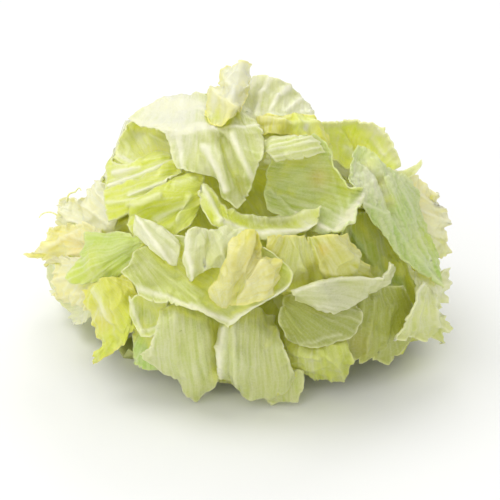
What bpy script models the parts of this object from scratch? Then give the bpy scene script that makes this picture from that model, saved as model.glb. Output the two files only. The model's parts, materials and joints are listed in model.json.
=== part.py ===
"""A heap of torn iceberg lettuce, 0.21 m wide, as one solid for each torn leaf.

Each leaf is a thin sheet. Its outline is drawn on an upright picture plane through the foot of the heap,
as somebody who stands in front of the heap sees it, and is carried along the sight lines onto the mound.
The leaves are laid from the inside out, and each one is eased towards the onlooker until it clears all
that lies under it, so no two leaves cross.
"""

import math
import random

import bmesh
import bpy
import numpy as np
from mathutils import Vector
from mathutils.bvhtree import BVHTree

MM = 0.001

# The mound that the leaves follow, as half of an ellipsoid
HEAP_HALF_WIDTH = 0.098
HEAP_HALF_DEPTH = 0.078
HEAP_HEIGHT = 0.120
MOUND_SOFTNESS = 0.16  # rounds the mound's rim, so that a leaf that passes it turns into a free flap

# The leaves
LEAF_THICKNESS = 0.0008
LEAF_CLEARANCE = 0.0006
CELL_SIZE = 0.0066
FEWEST_CELLS = 5
MOST_CELLS = 9
CORNER_PULL = 0.30  # how much a sharp turn counts against nearness when a sheet's corner is chosen
LEAST_CORNER = 0.0012
EVENED_SHARES = (0.0, 0.25, 0.5, 0.75, 1.0)
FLOOR_SNAP = 0.0006  # what lies this low is set flat on the floor
CRUMPLE_HEIGHT = 0.0008  # of each of its three waves
CRUMPLE_LENGTH = 0.030

# The onlooker, and where the middle of the view lies on the picture plane
FRONT_ELEVATION = 25.0
SIGHT_DISTANCE = 0.70
SIGHT_MIDDLE = (0.005, 0.040)

# Easing a leaf clear of what lies under it
WIDE_REACH = 0.030
NARROW_REACH = 0.012
STEEPEST = 0.30
EASING_REACHES = (WIDE_REACH, WIDE_REACH, NARROW_REACH, NARROW_REACH, NARROW_REACH)
MOST_ROUNDS = 60
NEIGHBOURHOOD = 1.2  # of the sheet's own reach from its middle, where laid leaves can poke through it

COLOURS = {
    "pale": (0.80, 0.86, 0.62),
    "lime": (0.66, 0.80, 0.22),
    "green": (0.50, 0.74, 0.33),
    "yellow": (0.88, 0.87, 0.42),
    "cream": (0.93, 0.88, 0.62),
}


class Sight:
    """Where the onlooker stands, with the picture plane that faces the eye."""

    def __init__(self, azimuth, elevation):
        turn = math.radians(azimuth)
        tilt = math.radians(elevation)
        level_ahead = np.array((-math.sin(turn), math.cos(turn), 0.0))
        upright = np.array((0.0, 0.0, 1.0))
        self.across = np.array((math.cos(turn), math.sin(turn), 0.0))
        self.up = level_ahead * math.sin(tilt) + upright * math.cos(tilt)
        self.ahead = level_ahead * math.cos(tilt) - upright * math.sin(tilt)
        middle = self.across * SIGHT_MIDDLE[0] + self.up * SIGHT_MIDDLE[1]
        self.eye = middle - self.ahead * SIGHT_DISTANCE

    def rays(self, drawn):
        """Unit vectors from the eye through points (across, up) of the picture plane."""
        points = drawn[:, :1] * self.across + drawn[:, 1:] * self.up
        towards = points - self.eye
        return towards / np.linalg.norm(towards, axis=1)[:, None]


class Leaf:
    """One torn leaf, as its onlooker sees it.

    outline  points (across, up) in mm on the picture plane, from the heap's axis and its foot
    rise     how far the sheet stands towards the onlooker, in mm: rows bottom to top, left to right
    level    the share of the mound's size that the sheet starts from, or 0 for the floor
    frill    height in mm and number of the waves along the sheet's edge
    folds    ridges (x, y, x, y, height, half width) in mm on the picture plane; a valley's height is negative
    corners  the outline's points that are the sheet's corners, anticlockwise from the bottom left, where
             the points nearest to the corners of the outline's box don't suit
    """

    def __init__(self, name, tint, outline, rise, level=1.0, frill=(0.0, 0), folds=(), azimuth=0.0,
                 elevation=FRONT_ELEVATION, corners=None):
        self.name = name
        self.tint = tint
        self.outline = anticlockwise(np.array(outline, float) * MM)
        self.corners = [nearest(self.outline, np.array(c) * MM) for c in corners] if corners else \
            suited_corners(self.outline)
        self.rise = np.array(rise, float) * MM
        self.level = level
        self.frill = (frill[0] * MM, frill[1])
        self.folds = np.array(folds, float).reshape(-1, 6) * MM
        self.sight = Sight(azimuth, elevation)


def anticlockwise(outline):
    x, y = outline[:, 0], outline[:, 1]
    area = np.sum(x * np.roll(y, -1) - np.roll(x, -1) * y)
    return outline if area > 0 else outline[::-1]


def side(outline, first, last, count):
    """Points evenly spaced along the outline from one corner to the next."""
    total = len(outline)
    steps = (last - first) % total
    points = outline[[(first + i) % total for i in range(steps + 1)]]
    lengths = np.linalg.norm(np.diff(points, axis=0), axis=1)
    along = np.concatenate(([0.0], np.cumsum(lengths)))
    wanted = np.linspace(0.0, along[-1], count + 1)
    return np.stack([np.interp(wanted, along, points[:, axis]) for axis in (0, 1)], axis=1)


def turning(outline):
    """How sharply the outline turns at each of its points, as a share of a right angle."""
    ahead = np.roll(outline, -1, axis=0) - outline
    behind = outline - np.roll(outline, 1, axis=0)
    cross = behind[:, 0] * ahead[:, 1] - behind[:, 1] * ahead[:, 0]
    return np.arctan2(cross, np.sum(ahead * behind, axis=1)) / (math.pi / 2)


def nearest(outline, point):
    return int(np.argmin(np.linalg.norm(outline - point, axis=1)))


def suited_corners(outline):
    """The outline's own points that suit its box's corners best, anticlockwise from the bottom left."""
    low, high = outline.min(axis=0), outline.max(axis=0)
    wanted = np.array((low, (high[0], low[1]), high, (low[0], high[1])))
    sharpness = CORNER_PULL * np.clip(turning(outline), 0, 1)
    return [int(np.argmin(np.linalg.norm((outline - corner) / (high - low), axis=1) - sharpness))
            for corner in wanted]


def stand_corners_out(grid):
    """Moves a corner that lies almost in line with its two neighbours outwards."""
    for row, column in ((0, 0), (0, -1), (-1, -1), (-1, 0)):
        beside = grid[row, 1 if column == 0 else -2]
        above = grid[1 if row == 0 else -2, column]
        chord = above - beside if (row == 0) == (column == 0) else beside - above
        outwards = np.array((chord[1], -chord[0])) / -np.linalg.norm(chord)
        height = (grid[row, column] - (beside + above) / 2) @ outwards
        if height < LEAST_CORNER:
            grid[row, column] += outwards * (LEAST_CORNER - height)


def drawn_grid(outline, corners, cells):
    """The sheet's grid points on the picture plane, row by row, between the outline's four sides."""
    a, b, c, d = corners
    grid = np.zeros((cells[1] + 1, cells[0] + 1, 2))
    grid[0], grid[-1] = side(outline, a, b, cells[0]), side(outline, c, d, cells[0])[::-1]
    grid[:, 0], grid[:, -1] = side(outline, d, a, cells[1])[::-1], side(outline, b, c, cells[1])
    stand_corners_out(grid)
    stretched, evened = stretched_grid(grid), evened_grid(grid)
    mixes = [stretched * (1 - share) + evened * share for share in EVENED_SHARES]
    return max(mixes, key=least_area).reshape(-1, 2)


def stretched_grid(grid):
    """The inner points set by the two pairs of opposite sides."""
    u = np.linspace(0.0, 1.0, grid.shape[1])[None, :, None]
    v = np.linspace(0.0, 1.0, grid.shape[0])[:, None, None]
    rows = (1 - v) * grid[:1] + v * grid[-1:]
    columns = (1 - u) * grid[:, :1] + u * grid[:, -1:]
    corners = ((1 - u) * ((1 - v) * grid[0, 0] + v * grid[-1, 0])
               + u * ((1 - v) * grid[0, -1] + v * grid[-1, -1]))
    return rows + columns - corners


def evened_grid(grid):
    """Each inner point midway between its neighbours, as in a net that is held at its rim."""
    rows, columns = grid.shape[:2]
    numbers = np.arange(rows * columns).reshape(rows, columns)
    pull = np.eye(rows * columns)
    for row in range(1, rows - 1):
        for column in range(1, columns - 1):
            near = (numbers[row - 1, column], numbers[row + 1, column],
                    numbers[row, column - 1], numbers[row, column + 1])
            pull[numbers[row, column], near] = -0.25
    held = grid.reshape(-1, 2).copy()
    held[numbers[1:-1, 1:-1].ravel()] = 0.0
    return np.linalg.solve(pull, held).reshape(rows, columns, 2)


def least_area(grid):
    """The area of the smallest corner of any cell. It is negative where the grid folds over itself."""
    right, up = np.diff(grid, axis=1), np.diff(grid, axis=0)
    least = math.inf
    for across in (right[:-1], right[1:]):
        for upward in (up[:, :-1], up[:, 1:]):
            area = across[..., 0] * upward[..., 1] - across[..., 1] * upward[..., 0]
            least = min(least, float(area.min()))
    return least


def curve_weights(t, count):
    """Weights of the smooth curve through this many evenly spaced heights."""
    knots = np.linspace(0.0, 1.0, count)
    weights = np.ones((len(t), count))
    for i in range(count):
        for j in range(count):
            if i != j:
                weights[:, i] *= (t - knots[j]) / (knots[i] - knots[j])
    return weights


def ridge(drawn, fold):
    """A fold's height at each point. It fades out sideways and past its ends."""
    start, end, height, half_width = fold[:2], fold[2:4], fold[4], fold[5]
    along = (drawn - start) @ (end - start) / ((end - start) @ (end - start))
    on_crease = start + np.clip(along, 0, 1)[:, None] * (end - start)
    away = np.linalg.norm(drawn - on_crease, axis=1)
    return height * np.exp(-((away / half_width) ** 2))


def crumple(leaf, drawn):
    """A slow wave over the whole sheet, different on each leaf."""
    draw = random.Random(leaf.name)
    height = np.zeros(len(drawn))
    for _ in range(3):
        turn, start = draw.uniform(0, math.tau), draw.uniform(0, math.tau)
        along = drawn @ np.array((math.cos(turn), math.sin(turn)))
        height += np.sin(along * math.tau / (CRUMPLE_LENGTH * draw.uniform(0.8, 1.3)) + start)
    return height * CRUMPLE_HEIGHT


def relief(leaf, drawn, shares):
    """How far each point of the sheet stands towards the onlooker."""
    across = curve_weights(shares[:, 0], leaf.rise.shape[1])
    up = curve_weights(shares[:, 1], leaf.rise.shape[0])
    height = np.einsum("pi,pj,ji->p", across, up, leaf.rise)
    for fold in leaf.folds:
        height += ridge(drawn, fold)
    centred = shares * 2 - 1
    towards_edge = np.abs(centred).max(axis=1)
    turn = np.arctan2(centred[:, 1], centred[:, 0])
    wave = np.sin(turn * leaf.frill[1] + len(leaf.name))
    return height + crumple(leaf, drawn) + leaf.frill[0] * wave * towards_edge ** 4


def floor_distance(sight, rays):
    """How far from the eye a sheet lies that rests on the floor."""
    down = -rays[:, 2]
    reach = (sight.eye[2] - LEAF_THICKNESS / 2) / np.maximum(down, 1e-9)
    return np.where(down > 0, reach, np.inf)


def mound_distance(sight, rays, level):
    """How far from the eye each ray meets the mound. Past the rim it runs on at the rim's own distance."""
    scale = np.array((HEAP_HALF_WIDTH, HEAP_HALF_DEPTH, HEAP_HEIGHT)) * level
    start, ahead = sight.eye / scale, rays / scale
    a = np.sum(ahead * ahead, axis=1)
    b = ahead @ start
    inside = (b * b - a * (start @ start - 1.0)) / a
    inside = (inside + np.sqrt(inside * inside + MOUND_SOFTNESS ** 2)) / 2
    return (-b - np.sqrt(inside * a)) / a


def grid_sheet(name, cells):
    """A flat grid of triangles, each cell split along the same diagonal."""
    mesh = bpy.data.meshes.new(name)
    build = bmesh.new()
    bmesh.ops.create_grid(build, x_segments=int(cells[0]), y_segments=int(cells[1]), size=1.0)
    bmesh.ops.triangulate(build, faces=build.faces, quad_method="FIXED")
    build.to_mesh(mesh)
    build.free()
    return mesh


def moved(mesh, points):
    mesh.vertices.foreach_set("co", points.ravel())
    mesh.update()


def thickened(obj):
    """The sheet with its thickness, and with what nearly touches the floor set flat on it."""
    solid = obj.modifiers.new("thickness", "SOLIDIFY")
    solid.thickness = LEAF_THICKNESS
    solid.offset = 0.0
    solid.use_quality_normals = True
    bpy.context.view_layer.update()
    graph = bpy.context.evaluated_depsgraph_get()
    mesh = bpy.data.meshes.new_from_object(obj.evaluated_get(graph))
    obj.modifiers.clear()
    build = bmesh.new()
    build.from_mesh(mesh)
    bmesh.ops.triangulate(build, faces=build.faces)
    for vertex in build.verts:
        if vertex.co.z < FLOOR_SNAP:
            vertex.co.z = 0.0
    bmesh.ops.recalc_face_normals(build, faces=build.faces)
    build.to_mesh(mesh)
    build.free()
    return mesh


def arrays(mesh):
    points = np.array([v.co[:] for v in mesh.vertices])
    faces = np.array([p.vertices[:] for p in mesh.polygons])
    return points, faces


class Heap:
    """What is laid so far, as one body of triangles."""

    def __init__(self):
        self.points = np.zeros((0, 3))
        self.faces = np.zeros((0, 3), int)
        self.tree = None

    def add(self, mesh):
        points, faces = arrays(mesh)
        self.faces = np.vstack((self.faces, faces + len(self.points)))
        self.points = np.vstack((self.points, points))
        self.tree = BVHTree.FromPolygons(self.points.tolist(), self.faces.tolist())

    def first_met(self, eye, ray):
        """The distance to the first laid leaf on this ray, with how squarely the ray meets it."""
        if self.tree is None:
            return math.inf, 1.0
        _, normal, _, distance = self.tree.ray_cast(Vector(eye), Vector(ray))
        if distance is None:
            return math.inf, 1.0
        return distance, max(abs(normal.dot(Vector(ray))), STEEPEST)


def spread(drawn, need, reach):
    """Carries each point's need over to its neighbours, so that the sheet eases over a bump."""
    away = np.linalg.norm(drawn[:, None] - drawn[None], axis=2)
    weight = np.clip(1 - (away / reach) ** 2, 0, None) ** 2
    return (weight * need[None]).max(axis=1)


def needs_over_faces(heap, eye, points, faces):
    """What each corner lacks, read at the corners and inside the triangles."""
    need = np.zeros(len(points))
    mixes = np.array(((1, 0, 0), (0.5, 0.5, 0), (0, 0.5, 0.5), (0.5, 0, 0.5), (1 / 3, 1 / 3, 1 / 3)))
    for face in faces:
        for place in mixes @ points[face]:
            distance = np.linalg.norm(place - eye)
            met, slope = heap.first_met(eye, (place - eye) / distance)
            lack = distance - met + (LEAF_THICKNESS / 2 + LEAF_CLEARANCE) / slope
            if lack > 0:
                need[face] = np.maximum(need[face], lack)
    return need


def laid_points_near(heap, eye, points):
    """The laid corners that lie about the sheet, as the onlooker sees them."""
    middle = points.mean(axis=0)
    reach = np.linalg.norm(points - middle, axis=1).max() * NEIGHBOURHOOD
    ahead = (middle - eye) / np.linalg.norm(middle - eye)
    offset = heap.points - middle
    offset = offset - np.outer(offset @ ahead, ahead)
    return heap.points[np.linalg.norm(offset, axis=1) < reach]


def needs_over_laid(heap, eye, points, faces):
    """What each corner lacks where a corner of a laid leaf pokes towards the sheet from below."""
    need = np.zeros(len(points))
    if heap.tree is None:
        return need
    tree = BVHTree.FromPolygons(points.tolist(), faces.tolist())
    for point in laid_points_near(heap, eye, points):
        distance = np.linalg.norm(point - eye)
        ray = (point - eye) / distance
        _, normal, index, found = tree.ray_cast(Vector(eye), Vector(ray))
        if index is None:
            continue
        slope = max(abs(normal.dot(Vector(ray))), STEEPEST)
        lack = found - distance + (LEAF_THICKNESS / 2 + LEAF_CLEARANCE) / slope
        if lack > 0 and heap.first_met(eye, ray)[0] > distance - LEAF_THICKNESS * 2:
            need[faces[index]] = np.maximum(need[faces[index]], lack)
    return need


def corners_that_cross(mesh, heap, count):
    """The sheet's corners whose thickened faces come too near to the heap."""
    if heap.tree is None:
        return []
    points, faces = arrays(mesh)
    tree = BVHTree.FromPolygons(points.tolist(), faces.tolist(), epsilon=LEAF_CLEARANCE / 4)
    hit = set()
    for mine, _ in tree.overlap(heap.tree):
        hit.update(int(i) % count for i in faces[mine])
    return sorted(hit)


def lay(leaf, heap, collection):
    """Draws the leaf on the mound, eases it clear of the heap and adds it."""
    size = leaf.outline.max(axis=0) - leaf.outline.min(axis=0)
    cells = np.clip(np.round(size / CELL_SIZE), FEWEST_CELLS, MOST_CELLS).astype(int)
    drawn = drawn_grid(leaf.outline, leaf.corners, cells)
    sheet = grid_sheet(leaf.name, cells)
    flat, faces = arrays(sheet)
    eye, rays = leaf.sight.eye, leaf.sight.rays(drawn)
    on_floor = floor_distance(leaf.sight, rays)
    start = mound_distance(leaf.sight, rays, leaf.level) if leaf.level else on_floor
    far = np.minimum(start - relief(leaf, drawn, (flat[:, :2] + 1) / 2), on_floor)
    for reach in EASING_REACHES:
        points = eye + rays * far[:, None]
        need = np.maximum(needs_over_faces(heap, eye, points, faces),
                          needs_over_laid(heap, eye, points, faces))
        far -= spread(drawn, need, reach)
    obj = bpy.data.objects.new(leaf.name, sheet)
    collection.objects.link(obj)
    for _ in range(MOST_ROUNDS):
        moved(sheet, eye + rays * far[:, None])
        mesh = thickened(obj)
        hit = corners_that_cross(mesh, heap, len(far))
        if not hit:
            break
        need = np.zeros(len(far))
        need[hit] = LEAF_CLEARANCE
        far -= spread(drawn, need, NARROW_REACH)
    finish(obj, mesh, leaf)
    heap.add(mesh)
    return obj


def finish(obj, mesh, leaf):
    obj.data = mesh
    mesh.name = leaf.name
    mesh.materials.append(bpy.data.materials[leaf.tint])
    mesh.shade_smooth()


def make_material(name, colour):
    material = bpy.data.materials.new(name)
    material.use_nodes = True
    shader = material.node_tree.nodes["Principled BSDF"]
    shader.inputs["Base Color"].default_value = (*colour, 1.0)
    shader.inputs["Roughness"].default_value = 0.45
    shader.inputs["Metallic"].default_value = 0.0
    material.diffuse_color = (*colour, 1.0)


def ragged_ring(draw, middle, half_width, half_height, count, raggedness):
    """An uneven ring of points about a middle, in mm, as the outline of a torn leaf."""
    ring = []
    long_way, three_way = draw.uniform(0, math.tau), draw.uniform(0, math.tau)
    for step in range(count):
        turn = math.tau * (step + draw.uniform(-0.25, 0.25)) / count
        swell = 0.5 * math.sin(2 * turn + long_way) + 0.4 * math.sin(3 * turn + three_way)
        reach = 1 + raggedness * (swell * 0.5 - draw.uniform(0, 0.8))
        ring.append((middle[0] + half_width * reach * math.cos(turn),
                     middle[1] + half_height * reach * math.sin(turn)))
    return ring


def floor_leaf():
    """The leaf that the heap stands on: flat in its middle, with corners that curl up."""
    ring = ragged_ring(random.Random(3), (0, 0), 66, 56, 15, 0.16)
    return Leaf("floor_leaf", "pale", ring, ((8, -8, 6), (-8, -14, -8), (6, -8, 9)), 0, elevation=89.0)


def core_leaf():
    """The large cupped leaf in the heart of the heap."""
    ring = ragged_ring(random.Random(5), (0, 0), 50, 46, 12, 0.2)
    return Leaf("core_leaf", "yellow", ring, ((-2, 2, -2), (2, 2, 2), (-2, 2, -2)), 0.73, (2, 5),
                elevation=85.0)


def inner_leaves():
    """A ring of leaves under the outer ones, which shows through the gaps."""
    draw = random.Random(9)
    leaves = []
    for index, (level, half_width) in enumerate(((0.76, 54), (0.78, 62), (0.78, 54), (0.68, 56))):
        ring = ragged_ring(draw, (0, 23), half_width, 64, 13, 0.14)
        rise = ((-2, 2, -2), (0, 3, 0), (-4, 0, -4))
        leaves.append(Leaf(f"inner_leaf_{index + 1}", "lime", ring, rise, level, (2, 6),
                           azimuth=90.0 * index, elevation=30.0))
    return leaves


# The leaves of the sides, the back and the top: azimuth and elevation of the sight, height up the picture,
# half width and half height in mm, level of the mound, tint
AROUND = (
    (72, 18, 2, 44, 34, 0.86, "lime"), (110, 18, 0, 48, 36, 0.94, "pale"),
    (150, 18, 3, 50, 36, 0.93, "yellow"), (190, 18, 0, 50, 36, 0.95, "pale"),
    (230, 18, 2, 48, 36, 0.90, "green"), (264, 18, 0, 38, 32, 0.78, "pale"),
    (62, 30, 34, 38, 32, 0.82, "green"), (92, 30, 38, 44, 34, 0.82, "pale"),
    (132, 30, 40, 46, 35, 0.93, "lime"), (172, 30, 38, 48, 35, 0.96, "pale"),
    (212, 30, 40, 46, 35, 0.92, "cream"), (250, 30, 34, 38, 32, 0.76, "lime"),
    (180, 74, 2, 40, 30, 0.84, "pale"), (128, 50, 27, 36, 28, 0.82, "yellow"),
    (232, 50, 30, 38, 30, 0.80, "pale"), (180, 50, 26, 44, 28, 0.84, "green"),
)


def around_leaves():
    draw = random.Random(7)
    leaves = []
    for index, (azimuth, elevation, height, wide, tall, level, tint) in enumerate(AROUND):
        ring = ragged_ring(draw, (0, height), wide, tall, 13, 0.30)
        rise = [[draw.uniform(-2, 9) for _ in range(3)] for _ in range(3)]
        rise[1][1] = draw.choice((-4, 9))
        folds = []
        for _ in range(2):
            turn, shift = draw.uniform(0, math.pi), draw.uniform(-0.4, 0.4)
            x, y = math.cos(turn) * wide * 0.7, math.sin(turn) * tall * 0.7
            side_step = (-math.sin(turn) * shift * wide, height + math.cos(turn) * shift * tall)
            folds.append((side_step[0] - x, side_step[1] - y, side_step[0] + x, side_step[1] + y,
                          draw.choice((-4, 4.5)), draw.uniform(4, 6)))
        leaves.append(Leaf(f"back_leaf_{index + 1}", tint, ring, rise, level,
                           (draw.uniform(1.2, 3.0), draw.randint(5, 8)), folds, azimuth, elevation))
    return leaves


def deep_leaves():
    """The leaves that the photographed side shows between and behind its outer ones."""
    return [
        Leaf("lime_hollow_leaf", "lime",
             ((-41, 76), (-16, 83), (14, 81), (29, 66), (34, 46), (14, 38), (-11, 38), (-34, 48)),
             ((4, 2, 4), (0, -5, 0), (2, 0, 2)), 0.84, folds=((-16, 76, -22, 50, 3, 5),)),
        Leaf("deep_green_leaf", "green",
             ((50, 55), (62, 60), (73, 50), (84, 32), (92, 16), (84, 6), (69, 6), (59, 16), (51, 34)),
             ((2, 2, 2), (0, -3, 0), (0, 0, 0)), 0.86, folds=((60, 50, 78, 14, 3, 5),)),
        Leaf("right_back_leaf", "pale",
             ((91, 35), (98, 29), (104, 31), (105, 22), (103, 14), (95, 12), (86, 18), (86, 28)),
             ((0, 0, 0), (0, 2, 0), (0, 0, 0)), 0.92),
        Leaf("blush_crest_leaf", "cream",
             ((-92, 60), (-90, 66), (-85, 67), (-81, 65), (-76, 67), (-76, 74), (-71, 76), (-67, 74),
              (-65, 66), (-60, 60), (-62, 46), (-75, 46), (-86, 50), (-93, 54)),
             ((3, 7, 7), (2, 7, 8), (0, 3, 3)), 0.88, (2, 5), ((-78, 66, -68, 50, 3, 3),)),
        Leaf("cream_fan_leaf", "cream",
             ((-107, 37), (-101, 41), (-96, 46), (-95, 52), (-87, 54), (-77, 54), (-68, 50), (-68, 33),
              (-82, 32), (-92, 33), (-99, 34)),
             ((0, 4, 4), (2, 7, 6), (0, 4, 2)), 0.90, (2, 6), ((-100, 40, -78, 46, 3, 3),)),
        Leaf("cream_low_leaf", "cream",
             ((-99, 31), (-94, 33), (-91, 27), (-94, 20), (-94, 16), (-87, 14), (-80, 10), (-74, 10),
              (-66, 14), (-64, 25), (-68, 36), (-84, 37), (-95, 36)),
             ((0, 2, 2), (2, 5, 4), (0, 2, 2)), 0.92, (2, 5)),
        Leaf("upper_right_cup_leaf", "lime",
             ((36, 102), (45, 105), (52, 106), (60, 106), (66, 104), (72, 101), (76, 95), (79, 89), (81, 82),
              (72, 76), (63, 78), (54, 80), (44, 86), (37, 94)),
             ((6, 8, 8), (4, -4, 8), (6, 5, 4)), 0.95, (1.2, 6)),
        Leaf("left_cup_leaf", "lime",
             ((-57, 81), (-64, 86), (-60, 98), (-54, 106), (-45, 108), (-35, 104), (-29, 93), (-32, 82),
              (-44, 78)),
             ((6, 4, 6), (2, -7, 2), (2, 3, 2)), 0.92, (1.2, 5)),
        Leaf("under_green_leaf", "green",
             ((-56, 4), (-41, 4), (-36, -12), (-41, -20), (-50, -19), (-54, -17), (-52, -12), (-54, -4)),
             ((4, 5, 4), (4, 6, 4), (4, 4, 4)), 1.0),
    ]


def crest_leaves():
    """The leaves of the heap's top and shoulders."""
    return [
        Leaf("crest_shell_leaf", "pale",
             ((0, 119), (4, 124), (8, 126), (15, 127), (22, 124), (28, 119), (32, 113), (36, 110), (38, 104),
              (32, 96), (21, 94), (10, 94), (-2, 98), (-2, 110)),
             ((4, 8, 4), (0, 6, 0), (-8, 0, -8)), 0.98, (1, 7),
             ((13, 124, 6, 102, 2, 3), (22, 121, 15, 102, 2, 3))),
        Leaf("yellow_rim_leaf", "yellow",
             ((8, 107), (21, 108), (30, 108), (37, 105), (45, 96), (43, 88), (31, 95), (20, 98), (8, 98)),
             ((2, 2, 2), (3, 4, 3), (1, 1, 1)), 1.0, (1, 6)),
        Leaf("right_ruffle_leaf", "cream",
             ((80, 80), (89, 77), (94, 72), (98, 69), (98, 64), (103, 61), (105, 54), (102, 49), (105, 45),
              (104, 36), (98, 34), (90, 36), (82, 46), (78, 63)),
             ((3, 3, 3), (6, 5, 4), (4, 5, 4)), 0.98, (1.5, 8), ((86, 74, 96, 50, 2, 3),)),
        Leaf("left_band_high_leaf", "pale",
             ((-67, 80), (-65, 87), (-60, 83), (-55, 82), (-47, 88), (-39, 91), (-33, 86), (-38, 78),
              (-50, 70), (-61, 64), (-68, 68)),
             ((5, 6, 5), (2, 4, 2), (0, 0, 0)), 0.98, (0.8, 4), ((-63, 80, -38, 88, 2.5, 3),)),
        Leaf("left_band_low_leaf", "pale",
             ((-68, 70), (-61, 72), (-50, 77), (-40, 82), (-31, 86), (-28, 79), (-37, 71), (-47, 64),
              (-56, 57), (-66, 53)),
             ((5, 6, 5), (2, 4, 2), (0, 0, 0)), 0.98, (0.8, 4), ((-62, 66, -34, 82, 2.5, 3),)),
        Leaf("left_lime_fold_leaf", "lime",
             ((-57, 53), (-54, 63), (-45, 69), (-36, 75), (-27, 79), (-17, 78), (-18, 65), (-24, 52),
              (-34, 46), (-45, 45), (-54, 47)),
             ((4, 7, 4), (1, 3, 1), (0, 0, 0)), 0.99, (1.2, 4),
             ((-50, 62, -26, 71, 3.5, 4), (-54, 56, -28, 59, -2.5, 4))),
        Leaf("horn_leaf", "pale",
             ((68, 76), (68, 82), (79, 80), (85, 81), (89, 84), (91, 86), (91, 82), (87, 77), (82, 73),
              (75, 72)),
             ((0, 2, 6), (1, 4, 5), (2, 3, 4)), 1.02),
        Leaf("green_drape_leaf", "green",
             ((58, 92), (55, 84), (54, 74), (58, 67), (62, 60), (66, 54), (70, 50), (73, 45), (77, 38),
              (82, 33), (88, 29), (94, 25), (99, 20), (100, 28), (99, 37), (96, 44), (92, 52), (90, 60),
              (88, 70), (85, 75), (82, 78), (76, 81), (70, 85), (64, 90)),
             ((4, 4, 2), (5, 4, 3), (1, 3, 2)), 1.02, (0.8, 5),
             ((61, 86, 70, 75, -3, 4), (70, 75, 76, 56, -3, 4), (80, 74, 89, 38, 3, 5))),
    ]


def middle_leaves():
    """The leaves of the middle, from the bowl on the right to the drape over the left."""
    return [
        Leaf("bowl_right_leaf", "green",
             ((11, 67), (13, 78), (16, 88), (24, 96), (35, 99), (42, 96), (46, 90), (49, 85), (52, 77),
              (55, 70), (61, 71), (63, 67), (60, 57), (54, 50), (47, 46), (37, 48), (28, 52), (20, 56),
              (14, 61)),
             ((4, 6, 13), (-1, -8, 5), (0, 0, 2)), 0.99, (0.8, 5), ((50, 84, 57, 60, 3, 3),)),
        Leaf("ribbed_band_leaf", "pale",
             ((10, 90), (12, 96), (20, 98), (30, 97), (40, 95), (42, 89), (30, 85), (18, 84)),
             ((2, 3, 2), (3, 4, 3), (1, 1, 1)), 0.99),
        Leaf("crescent_leaf", "pale",
             ((-22, 70), (-18, 74), (-14, 70), (-10, 63), (-3, 58), (6, 55), (18, 55), (30, 58), (41, 60),
              (39, 52), (30, 47), (17, 44), (5, 44), (-6, 47), (-14, 52), (-20, 61)),
             ((7, 11, 7), (4, 6, 4), (1, 1, 1)), 1.0),
        Leaf("pale_drape_leaf", "pale",
             ((-56, 104), (-48, 111), (-39, 116), (-30, 118), (-23, 116), (-16, 118), (-9, 115), (0, 109),
              (9, 104), (12, 95), (12, 87), (8, 77), (4, 65), (-1, 61), (-8, 65), (-12, 75), (-17, 77),
              (-24, 79), (-31, 80), (-34, 86), (-35, 93), (-39, 99), (-46, 100)),
             ((4, 6, 6), (4, 8, 6), (-4, 0, 0)), 1.02, (0.6, 5),
             ((-38, 101, 9, 102, 3, 7), (-8, 94, 2, 66, -4, 3), (-14, 96, -3, 64, 3, 4),
              (-27, 100, -20, 80, 2, 4))),
        Leaf("crest_tip_leaf", "yellow",
             ((-18, 106), (-17, 115), (-15, 121), (-9, 122), (-10, 127), (-6, 132), (-2, 135), (2, 135),
              (4, 132), (5, 126), (4, 119), (1, 110), (-5, 104), (-12, 100)),
             ((0, 2, 0), (-7, -2, -8), (-1, 3, -2)), 1.02, (1.2, 5), ((-8, 104, 1, 134, 4, 3),),
             corners=((-18, 106), (1, 110), (4, 132), (-6, 132))),
        Leaf("green_fan_leaf", "green",
             ((-45, 43), (-50, 47), (-57, 49), (-67, 49), (-77, 48), (-78, 42), (-81, 34), (-87, 26),
              (-83, 23), (-72, 24), (-60, 26), (-53, 33), (-48, 38)),
             ((3, 5, 4), (4, 7, 4), (1, 3, 2)), 1.0, (0.6, 5),
             ((-52, 44, -82, 27, 2, 3), (-54, 40, -70, 26, -1.5, 3))),
        Leaf("crinkled_yellow_leaf", "yellow",
             ((14, 52), (30, 53), (47, 52), (56, 44), (60, 37), (65, 31), (68, 25), (66, 18), (50, 16),
              (30, 16), (16, 20), (12, 37)),
             ((2, 4, 2), (4, 7, 4), (0, 2, 0)), 0.98, (1, 7),
             ((28, 46, 44, 27, 3, 3), (45, 46, 62, 27, 2.5, 3))),
    ]


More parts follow.
